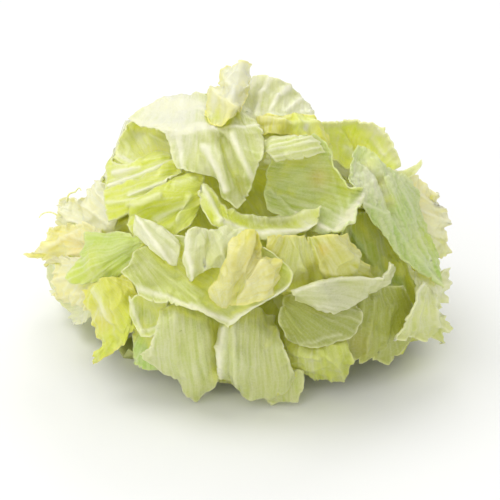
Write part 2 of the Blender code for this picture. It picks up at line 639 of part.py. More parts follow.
def low_leaves():
    """The leaves round the heap's foot on the photographed side."""
    return [
        Leaf("left_hanging_leaf", "yellow",
             ((-77, 20), (-70, 26), (-55, 28), (-50, 15), (-50, 2), (-55, -2), (-59, -8), (-64, -12),
              (-70, -16), (-75, -19), (-73, -13), (-69, -8), (-71, -2), (-75, 6)),
             ((6, 8, 4), (5, 6, 3), (0, 2, 0)), 1.0, (1, 6), ((-67, 20, -57, -1, 3, 4),)),
        Leaf("low_right_leaf", "lime",
             ((44, -2), (53, 12), (67, 23), (81, 23), (88, 8), (87, -3), (80, -11), (72, -18), (64, -16),
              (57, -16), (50, -10)),
             ((3, 5, 3), (3, 5, 3), (0, 0, 0)), 0.98, (1, 6), ((60, 16, 68, -12, 3, 4),)),
        Leaf("low_ruffle_leaf", "lime",
             ((22, -2), (38, 0), (53, -4), (57, -17), (52, -24), (45, -26), (37, -24), (30, -21), (24, -14)),
             ((-9, -9, -9), (1, 3, 1), (-1, -1, -1)), 0.93, (1, 6)),
        Leaf("right_star_leaf", "pale",
             ((90, 24), (86, 15), (82, 6), (79, 0), (74, -5), (80, -6), (86, -4), (89, -6), (95, -5),
              (100, -8), (101, -3), (106, 0), (105, 4), (100, 7), (98, 12), (99, 17), (95, 21)),
             ((6, 6, 4), (4, 6, 5), (2, 2, 2)), 1.02, (1, 6), ((89, 21, 77, -4, 4, 3),)),
        Leaf("small_cup_leaf", "pale",
             ((-56, 18), (-46, 20), (-35, 17), (-36, 8), (-40, 0), (-44, -4), (-49, -4), (-53, 1), (-56, 8)),
             ((7, 8, 7), (1, -3, 1), (2, 2, 2)), 1.0),
        Leaf("wedge_leaf", "pale",
             ((18, 6), (22, 18), (38, 20), (56, 16), (62, 6), (57, -2), (50, -6), (42, -9), (31, -9),
              (23, -5)),
             ((6, 9, 6), (3, 4, 3), (-2, -2, -2)), 1.0, (0.6, 5)),
        Leaf("front_chip_leaf", "pale",
             ((10, -30), (18, -24), (28, -19), (33, -20), (32, -28), (29, -35), (22, -36), (15, -38)),
             ((0, 0, 0), (1, 1, 1), (-2, -2, -2)), 0.92),
        Leaf("front_left_slab_leaf", "pale",
             ((-50, -11), (-45, -8), (-42, 0), (-39, 9), (-33, 14), (-20, 13), (-9, 8), (-8, -5), (-10, -26),
              (-16, -31), (-21, -36), (-26, -33), (-32, -26), (-39, -20), (-46, -16)),
             ((-7, -7, -7), (2, 6, 3), (-3, 0, -2)), 0.96, folds=((-18, 8, -22, -22, 2, 5),)),
        Leaf("front_centre_slab_leaf", "pale",
             ((-12, -23), (-11, -10), (-11, 4), (-4, 11), (8, 12), (16, 6), (21, -5), (26, -18), (29, -24),
              (22, -31), (14, -34), (7, -36), (2, -34), (-2, -30), (-7, -25)),
             ((-8, -8, -8), (3, 7, 3), (-2, 2, -2)), 0.96,
             folds=((-7, 4, -2, -22, 3, 3), (-11, 2, -9, -22, -2, 2))),
        Leaf("white_boat_leaf", "pale",
             ((25, 20), (33, 23), (42, 26), (58, 27), (69, 26), (74, 29), (75, 34), (77, 32), (77, 28), (72, 21),
              (61, 15), (53, 10), (45, 8), (36, 11), (28, 16)),
             ((1, 4, 1), (6, 9, 6), (8, 11, 10)), 1.0, corners=((28, 16), (77, 32), (75, 34), (25, 20))),
    ]


def bowl_leaves():
    """The large bowl at the front, with the fold and the heart that lie in it."""
    return [
        Leaf("front_bowl_leaf", "pale",
             ((-54, 39), (-56, 33), (-60, 29), (-53, 23), (-51, 17), (-43, 13), (-33, 12), (-18, 8), (-6, 1),
              (7, 10), (17, 16), (29, 25), (24, 33), (14, 41), (-8, 46), (-26, 48), (-42, 46), (-49, 42)),
             ((6, 9, 13, 9, 6), (2, 1, 3, 2, 4), (0, -5, -5, -5, 0)), 1.0, (0.6, 4),
             ((-50, 36, -30, 14, -2, 5),)),
        Leaf("white_fold_leaf", "pale",
             ((-28, 49), (-22, 52), (-16, 50), (-4, 52), (5, 50), (6, 40), (0, 34), (-7, 30), (-14, 31),
              (-18, 29), (-22, 25), (-26, 23), (-28, 32), (-29, 40)),
             ((3, 2, 1), (4, 2, 1), (4, 2, 1)), 1.0, (0.8, 5),
             ((-25, 48, -25, 26, 6, 4), (-6, 49, -12, 35, 2.5, 3))),
        Leaf("yellow_heart_leaf", "yellow",
             ((-16, 20), (-10, 29), (-6, 37), (-2, 44), (3, 50), (8, 49), (11, 42), (12, 37), (16, 38),
              (19, 36), (20, 27), (16, 19), (9, 14), (0, 12), (-8, 12), (-14, 15)),
             ((3, 6, 4), (4, 7, 5), (2, 4, 4)), 1.0, (1, 6),
             ((3, 47, -8, 20, 4, 3), (9, 44, 0, 18, -2.5, 2.5), (16, 36, 8, 17, 6, 3))),
        Leaf("folded_flap_leaf", "pale",
             ((-53, 58), (-44, 54), (-34, 49), (-29, 42), (-31, 31), (-36, 33), (-45, 41), (-53, 48)),
             ((3, 4, 3), (4, 5, 4), (4, 4, 3)), 1.0),
    ]


def set_over_origin(objects):
    """Moves the heap so that its box stands centred over the origin."""
    points = np.vstack([arrays(obj.data)[0] for obj in objects])
    middle = (points.min(axis=0) + points.max(axis=0)) / 2
    for obj in objects:
        obj.location = (-middle[0], -middle[1], 0.0)


def main():
    for obj in list(bpy.data.objects):
        bpy.data.objects.remove(obj)
    collection = bpy.data.collections.new("lettuce_heap")
    bpy.context.scene.collection.children.link(collection)
    for name, colour in COLOURS.items():
        make_material(name, colour)
    leaves = [floor_leaf(), core_leaf(), *inner_leaves(), *around_leaves(), *deep_leaves(),
              *crest_leaves(), *middle_leaves(), *low_leaves(), *bowl_leaves()]
    heap = Heap()
    set_over_origin([lay(leaf, heap, collection) for leaf in leaves])


if __name__ == "__main__":
    main()
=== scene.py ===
"""The looks of a heap of torn iceberg lettuce.

Each leaf is a fine sheet with ribs, pleats, blisters and torn edges. Its form comes from its solid: the
corners of the solid's outer face are read as a net, a smooth surface is drawn through them, and the leaf's
relief and its ragged edge are added to that surface. The leaves are laid in the order of the heap, from its
heart outwards, and each one is pressed clear of those under it.
"""

import json
import math
import random
from collections import Counter
from dataclasses import dataclass

import bmesh
import bpy
import numpy as np
from bpy.props import FloatProperty, FloatVectorProperty, PointerProperty
from mathutils import Matrix, Vector, noise
from mathutils.bvhtree import BVHTree

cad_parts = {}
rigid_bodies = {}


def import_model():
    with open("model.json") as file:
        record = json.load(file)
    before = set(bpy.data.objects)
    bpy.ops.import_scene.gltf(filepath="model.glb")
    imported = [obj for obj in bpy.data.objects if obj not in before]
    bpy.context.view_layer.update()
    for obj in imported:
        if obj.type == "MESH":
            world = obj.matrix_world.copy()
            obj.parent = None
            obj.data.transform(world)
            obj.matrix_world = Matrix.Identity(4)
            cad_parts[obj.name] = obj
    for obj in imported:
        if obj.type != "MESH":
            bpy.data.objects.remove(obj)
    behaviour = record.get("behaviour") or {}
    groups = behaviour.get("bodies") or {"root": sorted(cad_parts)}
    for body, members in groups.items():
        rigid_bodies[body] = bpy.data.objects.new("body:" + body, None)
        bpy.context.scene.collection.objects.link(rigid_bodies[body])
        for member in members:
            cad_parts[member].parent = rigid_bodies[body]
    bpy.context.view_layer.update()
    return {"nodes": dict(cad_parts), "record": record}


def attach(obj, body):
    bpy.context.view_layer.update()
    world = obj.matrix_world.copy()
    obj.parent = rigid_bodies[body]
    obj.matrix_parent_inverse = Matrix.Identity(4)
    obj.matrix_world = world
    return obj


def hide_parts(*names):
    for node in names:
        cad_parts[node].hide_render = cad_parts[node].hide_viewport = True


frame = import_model()

bl_info = {
    "name": "Torn Lettuce Heap",
    "version": (1, 0, 0),
    "blender": (4, 5, 0),
    "location": "View3D > Sidebar > Lettuce",
    "description": "Dresses a heap of torn iceberg lettuce leaves",
    "category": "Object",
}

MM = 0.001

# Reading a leaf's solid
MERGE_DISTANCE = 0.00001
RIM_EDGE = 0.0010  # an edge shorter than this joins the solid's two faces
HEART = Vector((0.0, 0.0, 0.02))  # leaves face away from here
UPWARD = (0.0, 0.25, 1.0)  # up, and a little away from the view

# The sheet. Lengths are in mm, here and below, unless a line says metres.
FRONT_PITCH = 0.68  # between the points of a leaf that faces the view
AROUND_PITCH = 0.95
HIDDEN_PITCH = 2.4
FEWEST_CELLS = 16
MOST_CELLS = 96
LEAST_HEIGHT = 0.0003  # metres above the floor
LEAST_AREA = 1e-12  # keeps a way out of the sheet from being divided by nothing
FLOOR_LEAF_ANGLE = math.radians(40.0)  # the floor leaf's edges are smooth up to here
FLOOR_LEAF_CUTS = 2

# Torn sides
BITE_WAVES = ((16.0, 1.0), (7.0, 0.6), (2.6, 0.3), (1.5, 0.16))  # length and share of each
NICK_PITCH = 5.0
NICK_DEPTH = 1.6  # in bites
NICK_HALVES = (0.6, 1.4)  # least and greatest half width
THREAD_RADIUS = 0.0005  # metres
THREAD_TAPER = 0.6
THREAD_TINT = 0.5  # how white, and how lime, a hair-thin curl is

# What rises and falls beside the sides
CURL_REACH = 8.0
LIP_WAVE = 11.0
LIP_REACH = 4.0
LIP_HEIGHT = 0.6
FRILL_REACH = 10.0
FRILL_FADE = 1.5
FRILL_TURNS = ((1.0, 0.65), (2.3, 0.3), (0.5, 0.4))  # turns in a wave, and share, of each part of a frill
FRILL_WANDER = 1.2

# Folds, pleats, veins, creases and bubbles
FOLD_START = 1.1  # how wide a fold is at its first end, in its own widths, and how much that falls
FOLD_TAPER = 0.4
LIP_FALL = 1.1  # how wide the sharp side of a lip is
PLEAT_LENGTH = 5.0  # in pleat widths
FAN_WANDER = 1.2
FAN_WAVE = 0.02  # metres
VEIN_HALF = 0.4
VEIN_WANDER = 0.35  # in vein distances
VEIN_WAVES = (5.0, 18.0)
VEIN_STEP = 12.9898  # sets the strength of one vein apart from that of the next
CREASE_DEPTH = 2.2
CRINKLE = 0.2
CRINKLE_LENGTH = 0.0038  # metres
BUBBLE_FALL = 1.6
NOISE_GAIN = 1.6  # brings the noise to between about -1 and 1
SHIFTS = {"streaks": 0.0, "patches": 3.0, "veins": 5.0, "fan": 9.0, "pleats": 11.0, "creases": 20.0,
          "crinkle": 30.0, "bubbles": 40.0}  # these set a leaf's fields apart

# Masks
# Of these masks, the olive one is painted shade and the hollow one painted light; lush is the leaves' deeper
# tone and also painted shade; lime is their own lime and also painted light
MASKS = ("white", "lush", "lime", "warm", "olive", "edge", "hollow")
STREAKS = (1.3, 14.0)  # width and length
PATCH_LENGTH = 0.017  # metres
FOOT_WHITE = 1.4  # the share of its whiteness that a leaf starts from
PATCH_SHARE = 0.35
STREAK_WHITE = 0.16
VEIN_WHITE = 0.32
LEAST_LUSH = 0.25
STREAK_LUSH = 0.2
LIME_PATCHES = 0.3
EDGE_REACH = 0.8

# Pressing a leaf clear of those under it, in metres
PRESS_GAP = 0.0009
PRESS_START = 0.25
PRESS_DEPTH = 0.004
PRESS_MOST = 0.006
PRESS_SPREAD = 3  # cells that a press is carried over to

# Hollows: painted light, a bright lime where other leaves close a leaf in, and painted shade that dims its
# white there
HOLLOW_REACH = 0.045  # metres
HOLLOW_RAYS = 14
HOLLOW_FACING = 0.05  # a ray leaves the leaf at least this steeply
HOLLOW_ROUNDS = 3
HOLLOW_START = 0.4
HOLLOW_DEPTH = 2.4
HOLLOW_FADE = 1.4

# The photograph's view. Places in it are given in points, 500 to its width, from its upper left corner.
VIEW_ELEVATION = math.radians(25.0)
VIEW_DISTANCE = 0.70
VIEW_ACROSS = 0.250  # metres of the picture plane that the view takes in
VIEW_MIDDLE = (0.00583, 0.01881, 0.03625)
VIEW_POINTS = 500
POINT = VIEW_ACROSS / VIEW_POINTS / MM  # mm
SENSOR = 36.0
NEAREST = 0.01  # metres
SKYLINE = ((60, 240), (108, 170), (126, 122), (160, 104), (205, 95), (262, 86), (292, 100), (314, 132),
           (350, 136), (376, 140), (400, 172), (440, 230))

# Floor and lamps, in metres
FLOOR_SIZE = 8.0
FLOOR_ROUGHNESS = 0.8
LAMP_AIM = Vector((0.0, 0.0, 0.05))
LAMPS = {"key": ((-0.6, 0.05, 1.1), 0.75), "fill": ((-0.35, -0.9, 0.75), 0.8),
         "back": ((0.2, 0.9, 0.9), 0.7)}  # place and size

# Finishes, in metres
LEAF_TINTS = ("pale", "lime", "green", "yellow", "cream")
SKIN = {"Roughness": 0.38, "Coat Weight": 0.3, "Coat Roughness": 0.15, "Subsurface Weight": 1.0,
        "Subsurface Radius": (1.0, 1.0, 0.75), "Subsurface Scale": 0.0016}
SKIN_BUMP = {"Strength": 0.5, "Distance": 0.0003}
NET_SIZES = {"Cell Size": 0.0019, "Skin Size": 0.0022, "Fibre Width": 0.0011, "Fibre Length": 0.018}
NET_FALL = 5.0  # how fast a line of the net fades
NET_RELIEF = 0.4
NET_WHITE = 0.08
SKIN_DETAIL = 5.0
FIBRE_DETAIL = 3.0
FIBRE_CONTRAST = 2.6
FIBRE_LUSH = -0.3
FIBRE_WHITE = 0.17
FIBRE_LEVEL = 0.55  # fibres brighter than this whiten the leaf
TONE_SIZES = {"Length": 0.005, "Contrast": 1.2}
TONE_DETAIL = 3.0
TONE_LEAST = 0.5
LUSH_START = 0.15
RIM_SHARE = 0.7


def linear(level):
    """A colour's level of 0 to 255 as a share of light."""
    share = level / 255
    return share / 12.92 if share <= 0.04045 else ((share + 0.055) / 1.055) ** 2.4


def colour(name, description, red, green, blue):
    """A colour setting whose default is given in levels of 0 to 255."""
    return FloatVectorProperty(name=name, description=description, subtype="COLOR", min=0.0, max=1.0,
                               default=(linear(red), linear(green), linear(blue)))


class LettuceColours(bpy.types.PropertyGroup):
    """The colours of each kind of leaf, and those that all leaves share."""

    # Each kind's depths colour is its leaves' deeper tone, and also painted shade where they lie low or in
    # shade
    pale_blade: colour("Pale blade", "Blade of the pale leaves", 196, 202, 118)
    pale_lush: colour("Pale depths", "Lush parts of the pale leaves", 184, 199, 84)
    pale_rim: colour("Pale rim", "Torn rim of the pale leaves", 236, 237, 186)
    lime_blade: colour("Lime blade", "Blade of the lime leaves", 216, 226, 92)
    lime_lush: colour("Lime depths", "Lush parts of the lime leaves", 200, 214, 52)
    lime_rim: colour("Lime rim", "Torn rim of the lime leaves", 233, 235, 164)
    green_blade: colour("Green blade", "Blade of the green leaves", 184, 204, 116)
    green_lush: colour("Green depths", "Lush parts of the green leaves", 158, 190, 66)
    green_rim: colour("Green rim", "Torn rim of the green leaves", 214, 225, 152)
    yellow_blade: colour("Yellow blade", "Blade of the yellow leaves", 224, 216, 108)
    yellow_lush: colour("Yellow depths", "Lush parts of the yellow leaves", 218, 210, 68)
    yellow_rim: colour("Yellow rim", "Torn rim of the yellow leaves", 242, 230, 124)
    cream_blade: colour("Cream blade", "Blade of the cream leaves", 234, 223, 146)
    cream_lush: colour("Cream depths", "Lush parts of the cream leaves", 235, 222, 116)
    cream_rim: colour("Cream rim", "Torn rim of the cream leaves", 246, 236, 180)
    rib: colour("Ribs", "Ribs, veins and the white foot of every leaf", 232, 231, 202)
    warm: colour("Warm patches", "Yellow patches of every leaf", 238, 202, 84)
    # Lime light is the leaves' own lime, and also painted light in hollows and folds, for the glow of light
    # through leaves
    lime: colour("Lime light", "Lime parts of every leaf", 214, 225, 68)
    # Painted shade: an olive colour that darkens leaves lying in shade, over the heap's hollows or low in it
    olive: colour("Olive shade", "Thin leaves over the dark", 148, 152, 70)
    # Painted light: a bright lime that stands in for light through leaves where others close a leaf in
    hollow: colour("Hollow light", "Leaves that others close in", 244, 249, 104)
    floor: colour("Floor", "The pale floor", 247, 247, 246)


class LettuceSizes(bpy.types.PropertyGroup):
    """The sizes that the whole heap shares."""

    blade: FloatProperty(name="Blade", description="Thickness of a leaf's blade", default=0.00045,
                         unit="LENGTH", min=0.0003, max=0.002)
    rib_share: FloatProperty(name="Rib share", description="Thickness of a rib, in blades", default=2.8,
                             min=1.0, max=4.0)
    relief: FloatProperty(name="Relief", description="Strength of the leaves' creases and blisters",
                          default=1.0, min=0.0, max=2.0)
    ragged: FloatProperty(name="Raggedness", description="Depth of the leaves' torn edges", default=1.0,
                          min=0.0, max=2.0)


class LettuceLight(bpy.types.PropertyGroup):
    """The strengths of the room and of its three lamps."""

    room: FloatProperty(name="Room", description="Light from all round", default=0.72, min=0.0, max=4.0)
    key: FloatProperty(name="Key", description="Lamp over the heap", default=4.5, min=0.0, unit="POWER")
    fill: FloatProperty(name="Fill", description="Lamp in front, at the left", default=2.7, min=0.0,
                        unit="POWER")
    back: FloatProperty(name="Back", description="Lamp behind the heap", default=2.6, min=0.0, unit="POWER")


@dataclass
class Look:
    """What a leaf's sheet has beyond the form of its solid.

    Four values are those of the sides, in the order bottom, right, top, left. The places of a front leaf are
    points of the view. Those of another leaf are mm from the sheet's middle.
    """

    name: str
    tint: str
    pitch: float = FRONT_PITCH
    front: bool = True
    frill: tuple = (0.4, 0.4, 0.4, 0.4)  # height of the waves
    wave: float = 9.0  # length of the waves
    curl: tuple = (0, 0, 0, 0)  # how far a side turns outwards, or inwards where it is negative
    tear: tuple = (1, 1, 1, 1)  # depth of the bites
    trim: tuple = (0, 0, 0, 0)  # how much a side is cut back
    root: tuple = (250, -200)  # the point that the pleats and veins fan out from
    pleat: tuple = (0.6, 6.5)  # height and width
    vein: tuple = (0.12, 3.6)  # height and distance
    blister: tuple = (0.2, 4.5)  # height and size
    crease: tuple = (0.6, 16)  # height and length
    white: tuple = (0.5, 60)  # how white the leaf is beside its root, and how far that reaches
    lush: float = 0.0  # how deep its colour is: its own deeper tone, and painted shade where it lies low or in shade
    # the leaf's own lime, which also stands in as painted light in its hollows and folds
    lime: float = 0.0
    olive: float = 0.0  # painted shade: how much an olive colour darkens it where it lies in shade, over a hollow or low in the heap
    folds: tuple = ()  # two ends, half width (negative for a lip), height (negative for a groove), whiteness
    marks: tuple = ()  # middle, radius, mask, strength
    threads: tuple = ()  # places along each hair-thin curl, from the leaf outwards

    def __post_init__(self):
        self.node = self.name + "_leaf" if self.front else self.name
        self.draw = random.Random(self.name)


def joined(node):
    """The node's loose triangles, joined at their corners, without those of the solid's rim."""
    build = bmesh.new()
    build.from_mesh(node.data)
    bmesh.ops.remove_doubles(build, verts=build.verts, dist=MERGE_DISTANCE)
    build.verts.index_update()
    points = np.array([v.co[:] for v in build.verts])
    faces = [tuple(v.index for v in face.verts) for face in build.faces
             if min(edge.calc_length() for edge in face.edges) > RIM_EDGE]
    build.free()
    return points, faces


def outer_faces(points, faces):
    """The faces of the sheet's side that looks away from the heap's heart."""
    beside = {}
    for number, face in enumerate(faces):
        for corner in face:
            beside.setdefault(corner, []).append(number)
    sides, left = [], set(range(len(faces)))
    while left:
        reached, waiting = set(), [min(left)]
        while waiting:
            number = waiting.pop()
            if number not in reached:
                reached.add(number)
                waiting += [n for corner in faces[number] for n in beside[corner]]
        left -= reached
        sides.append([faces[n] for n in sorted(reached)])
    return max(sides, key=lambda side: outwardness(points, side))


def outwardness(points, faces):
    """How much the faces look away from the heap's heart."""
    total = 0.0
    for face in faces:
        a, b, c = points[list(face)]
        total += np.cross(b - a, c - a) @ ((a + b + c) / 3 - np.array(HEART))
    return total


def net(points, faces):
    """The sheet's corners as rows and columns. Every cell is split along the same diagonal."""
    third = {}
    for a, b, c in faces:
        third[a, b], third[b, c], third[c, a] = c, a, b
    after = {a: b for a, b in third if (b, a) not in third}
    before = {b: a for a, b in after.items()}
    count = Counter(corner for face in faces for corner in face)
    row = [min(corner for corner in after if count[corner] == 1)]
    while len(row) == 1 or count[row[-1]] > 2:
        row.append(after[row[-1]])
    rows = [row]
    while len(rows) == 1 or count[rows[-1][0]] > 2:
        upper = [before[rows[-1][0]]]
        for corner in rows[-1][1:]:
            upper.append(third[upper[-1], corner])
        rows.append(upper)
    return points[np.array(rows)]


def upright(grid):
    """The net turned so that its rows run from left to right and from the bottom up, seen from outside."""
    outward = mean_normal(grid)
    up = np.array(UPWARD)
    up -= outward * (up @ outward)
    turns = [np.rot90(grid, k) for k in range(4)]
    return max(turns, key=lambda g: (g[-1].mean(axis=0) - g[0].mean(axis=0)) @ up)


def normals(grid):
    """The way out of the sheet at each of its points."""
    out = np.cross(np.gradient(grid, axis=1), np.gradient(grid, axis=0))
    return out / np.maximum(np.linalg.norm(out, axis=2), LEAST_AREA)[..., None]


def mean_normal(grid):
    """The way that the sheet as a whole looks."""
    out = normals(grid).mean(axis=(0, 1))
    return out / np.linalg.norm(out)


def cubic(places, count):
    """The cell that each place lies in, and the weights of the four corners about it."""
    cell = np.clip(np.floor(places).astype(int), 0, count - 2)
    f = places - cell
    weights = (-f + 2 * f ** 2 - f ** 3, 2 - 5 * f ** 2 + 3 * f ** 3, f + 4 * f ** 2 - 3 * f ** 3,
               f ** 3 - f ** 2)
    return cell, [w / 2 for w in weights]


def on_surface(grid, across, up):
    """Points of the smooth surface through the net, at shares across and up it."""
    wide = np.concatenate((2 * grid[:, :1] - grid[:, 1:2], grid, 2 * grid[:, -1:] - grid[:, -2:-1]), axis=1)
    wide = np.concatenate((2 * wide[:1] - wide[1:2], wide, 2 * wide[-1:] - wide[-2:-1]), axis=0)
    column, column_weights = cubic(across * (grid.shape[1] - 1), grid.shape[1])
    row, row_weights = cubic(up * (grid.shape[0] - 1), grid.shape[0])
    points = np.zeros(across.shape + (3,))
    for i in range(4):
        for j in range(4):
            share = row_weights[j] * column_weights[i]
            points += wide[row + j, column + i] * share[..., None]
    return points


def uneven(draw, along, wave):
    """A line of even length along a side that rises and falls between -1 and 1."""
    knots = max(int(along.max() / wave * 2) + 2, 4)
    heights = np.array([draw.uniform(-1.0, 1.0) for _ in range(knots)])
    step = along.max() / (knots - 1)
    near = np.clip((along / step).astype(int), 0, knots - 2)
    f = along / step - near
    f = f * f * (3 - 2 * f)
    return heights[near] * (1 - f) + heights[near + 1] * f


def torn_line(draw, length, count, depth):
    """How far a torn side is bitten back along its length."""
    along = np.linspace(0.0, length, count)
    bite = sum(share * (0.5 + 0.5 * uneven(draw, along, wave)) for wave, share in BITE_WAVES)
    bite /= sum(share for _, share in BITE_WAVES)
    for _ in range(int(length / NICK_PITCH)):
        middle, half = draw.uniform(0, length), draw.uniform(*NICK_HALVES)
        bite += NICK_DEPTH * draw.random() ** 3 * fading(np.abs(along - middle), half)
    return bite * depth


def ruffle(draw, along, wave):
    """The height of a frill's waves along a side."""
    height = np.zeros_like(along)
    for turns, share in FRILL_TURNS:
        start, wander = draw.uniform(0, math.tau), uneven(draw, along, wave * 2)
        height += share * np.sin(along / wave * math.tau * turns + start + wander * FRILL_WANDER)
    return height


def fading(away, reach):
    """From 1 down to 0 where the reach ends."""
    return np.clip(1 - away / reach, 0, 1)


def bell(away, reach):
    """From 1 smoothly down to nearly 0, some way past the reach."""
    return np.exp(-(away / reach) ** 2)


def noise_field(places, shift):
    """Smooth noise of about -1 to 1 whose lumps are about one unit long."""
    flat = (places + shift[:places.shape[-1]]).reshape(-1, places.shape[-1])
    if flat.shape[1] == 2:
        flat = np.column_stack((flat, np.full(len(flat), shift[2])))
    values = [noise.noise(place) for place in flat.tolist()]
    return np.array(values).reshape(places.shape[:-1]) * NOISE_GAIN


def bubble_field(places, shift):
    """Domes about one unit wide that meet in creases, from 0 in the creases to 1."""
    flat = (places + shift).reshape(-1, 3).tolist()
    nearest = np.array([noise.voronoi(place)[0][0] for place in flat]).reshape(places.shape[:-1])
    return np.clip(1.0 - BUBBLE_FALL * nearest ** 2, 0.0, 1.0)


def distance_to_line(places, ends):
    """Each place's distance from the stretch between two ends, its share along it, and if it is below it."""
    start, end = np.array(ends[:2], float), np.array(ends[2:], float)
    way = end - start
    away = places - start
    share = np.clip((away @ way) / (way @ way), 0, 1)
    below = way[0] * away[..., 1] - way[1] * away[..., 0] > 0
    return np.linalg.norm(away - share[..., None] * way, axis=-1), share, below


class Sheet:
    """The fine sheet of one leaf, before it gets its thickness."""

    def __init__(self, look, sizes):
        self.look = look
        self.sizes = sizes
        points, faces = joined(frame["nodes"][look.node])
        self.net = upright(net(points, outer_faces(points, faces)))
        self.shift = np.array([look.draw.uniform(-50, 50) for _ in range(3)])
        self.measure()
        self.place()
        self.read_distances()
        self.read_flat()
        self.read_fan()
        self.draw_folds()
        self.draw_masks()
        self.draw_marks()
        self.raise_relief()

    def measure(self):
        """The sheet's mean width and height, and its cells."""
        self.width = np.linalg.norm(np.diff(self.net, axis=1), axis=2).sum(axis=1).mean() / MM
        self.height = np.linalg.norm(np.diff(self.net, axis=0), axis=2).sum(axis=0).mean() / MM
        cells = np.array((self.width, self.height)) / self.look.pitch
        self.cells = np.clip(np.round(cells), FEWEST_CELLS, MOST_CELLS).astype(int)

    def place(self):
        """The points between the torn sides."""
        look = self.look
        columns, rows = self.cells + 1
        lengths, counts = (self.width, self.height) * 2, (columns, rows) * 2
        bite = [torn_line(look.draw, lengths[side], counts[side], look.tear[side] * self.sizes.ragged)
                + look.trim[side] for side in range(4)]
        bottom, top = bite[0] / self.height, bite[2] / self.height
        right, left = bite[1] / self.width, bite[3] / self.width
        self.across, self.up = np.meshgrid(np.linspace(0, 1, columns), np.linspace(0, 1, rows))
        across = left[:, None] + self.across * (1 - left - right)[:, None]
        up = bottom[None] + self.up * (1 - bottom - top)[None]
        self.points = on_surface(self.net, across, up)
        self.normals = normals(self.points)

    def read_distances(self):
        """Each point's distance from the four sides, and along them."""
        across = np.linalg.norm(np.gradient(self.points, axis=1), axis=2) / MM
        up = np.linalg.norm(np.gradient(self.points, axis=0), axis=2) / MM
        from_left = np.cumsum(across, axis=1) - across[:, :1]
        from_bottom = np.cumsum(up, axis=0) - up[:1]
        from_right, from_top = from_left[:, -1:] - from_left, from_bottom[-1:] - from_bottom
        self.from_side = (from_bottom, from_right, from_top, from_left)
        self.along_side = (from_left, from_bottom) * 2

    def read_flat(self):
        """Each point's place on the flat that the leaf's features are drawn on, and the flat's unit."""
        if self.look.front:
            self.flat, self.unit = in_view(self.points), POINT
        else:
            middle = np.array((0.5, 0.5))
            self.flat = (np.stack((self.across, self.up), axis=-1) - middle) * (self.width, self.height)
            self.unit = 1.0

    def read_fan(self):
        """Each point's place across and along the fan of pleats and veins."""
        away = (self.flat - np.array(self.look.root)) * self.unit
        middle = away.mean(axis=(0, 1))
        reach = np.linalg.norm(middle)
        along = away @ middle / reach
        across = (away[..., 0] * middle[1] - away[..., 1] * middle[0]) / reach
        wander = FAN_WANDER * self.noise(self.points / FAN_WAVE, "fan")
        self.fan = np.stack((np.arctan2(across, along) * reach + wander, np.hypot(across, along)), axis=-1)

    def noise(self, places, field):
        return noise_field(places, self.shift + SHIFTS[field])

    def zeros(self):
        return np.zeros(self.across.shape)

    def draw_folds(self):
        """The folds' height and whiteness, and the ribs: the whiteness of those that aren't grooves."""
        self.fold_height, self.fold_white, self.ribs = self.zeros(), self.zeros(), self.zeros()
        for *ends, half, height, white in self.look.folds:
            away, share, below = distance_to_line(self.flat, ends)
            width = abs(half) * (FOLD_START - FOLD_TAPER * share)
            if half < 0:
                width = np.where(below, LIP_FALL, width)
            form = bell(away * self.unit, width)
            self.fold_height += form * height
            self.fold_white = np.maximum(self.fold_white, form * white)
            if height > 0:
                self.ribs = np.maximum(self.ribs, form * white)

    def draw_masks(self):
        """The masks that the leaf's material reads."""
        look = self.look
        self.veins = self.vein_mask()
        streaks = self.noise(self.fan / STREAKS, "streaks")
        patches = self.noise(self.points / PATCH_LENGTH, "patches")
        from_root = self.fan[..., 1] - self.fan[..., 1].min()
        foot = np.clip(FOOT_WHITE - from_root / look.white[1], 0, 1)
        plain = look.white[0] * (foot + PATCH_SHARE * patches) + STREAK_WHITE * streaks
        self.white = np.maximum.reduce((plain, self.fold_white, VEIN_WHITE * self.veins))
        # The deeper tone, which a leaf's look also raises as painted shade on low and shaded leaves
        self.lush = LEAST_LUSH + look.lush + PATCH_SHARE * patches - STREAK_LUSH * streaks
        # Own lime, and also painted light where a leaf's look raises it in hollows
        self.lime = look.lime + LIME_PATCHES * patches * (look.lime > 0)
        # Painted shade over hollows and on shaded leaves
        self.olive = look.olive + self.zeros()
        self.edge = bell(np.minimum.reduce(self.from_side), EDGE_REACH)
        # Warm patches come only from marks, and the painted light of hollows comes from the hollows step
        self.warm, self.hollow = self.zeros(), self.zeros()

    def draw_marks(self):
        """Adds the leaf's marks to its masks."""
        for x, y, radius, mask, strength in self.look.marks:
            near = bell(np.linalg.norm(self.flat - (x, y), axis=-1), radius)
            setattr(self, mask, getattr(self, mask) + strength * near)
        for mask in MASKS:
            setattr(self, mask, np.clip(getattr(self, mask), 0.0, 1.0))

    def vein_mask(self):
        """Thin lines along the fan. Some are strong and some faint."""
        distance = self.look.vein[1]
        place = self.fan[..., 0] / distance + VEIN_WANDER * self.noise(self.fan / VEIN_WAVES, "veins")
        number = np.floor(place)
        strength = np.abs(np.sin(number * VEIN_STEP + self.shift[0]))
        return strength * bell((place - number - 0.5) * distance, VEIN_HALF)

    def raise_relief(self):
        """Moves the points by the leaf's relief, and keeps them off the floor."""
        height = self.inner_relief() * self.sizes.relief + self.side_relief()
        self.points += self.normals * height[..., None] * MM
        if not self.look.front:
            self.sink_under_skyline()
        self.points[..., 2] = np.maximum(self.points[..., 2], LEAST_HEIGHT)

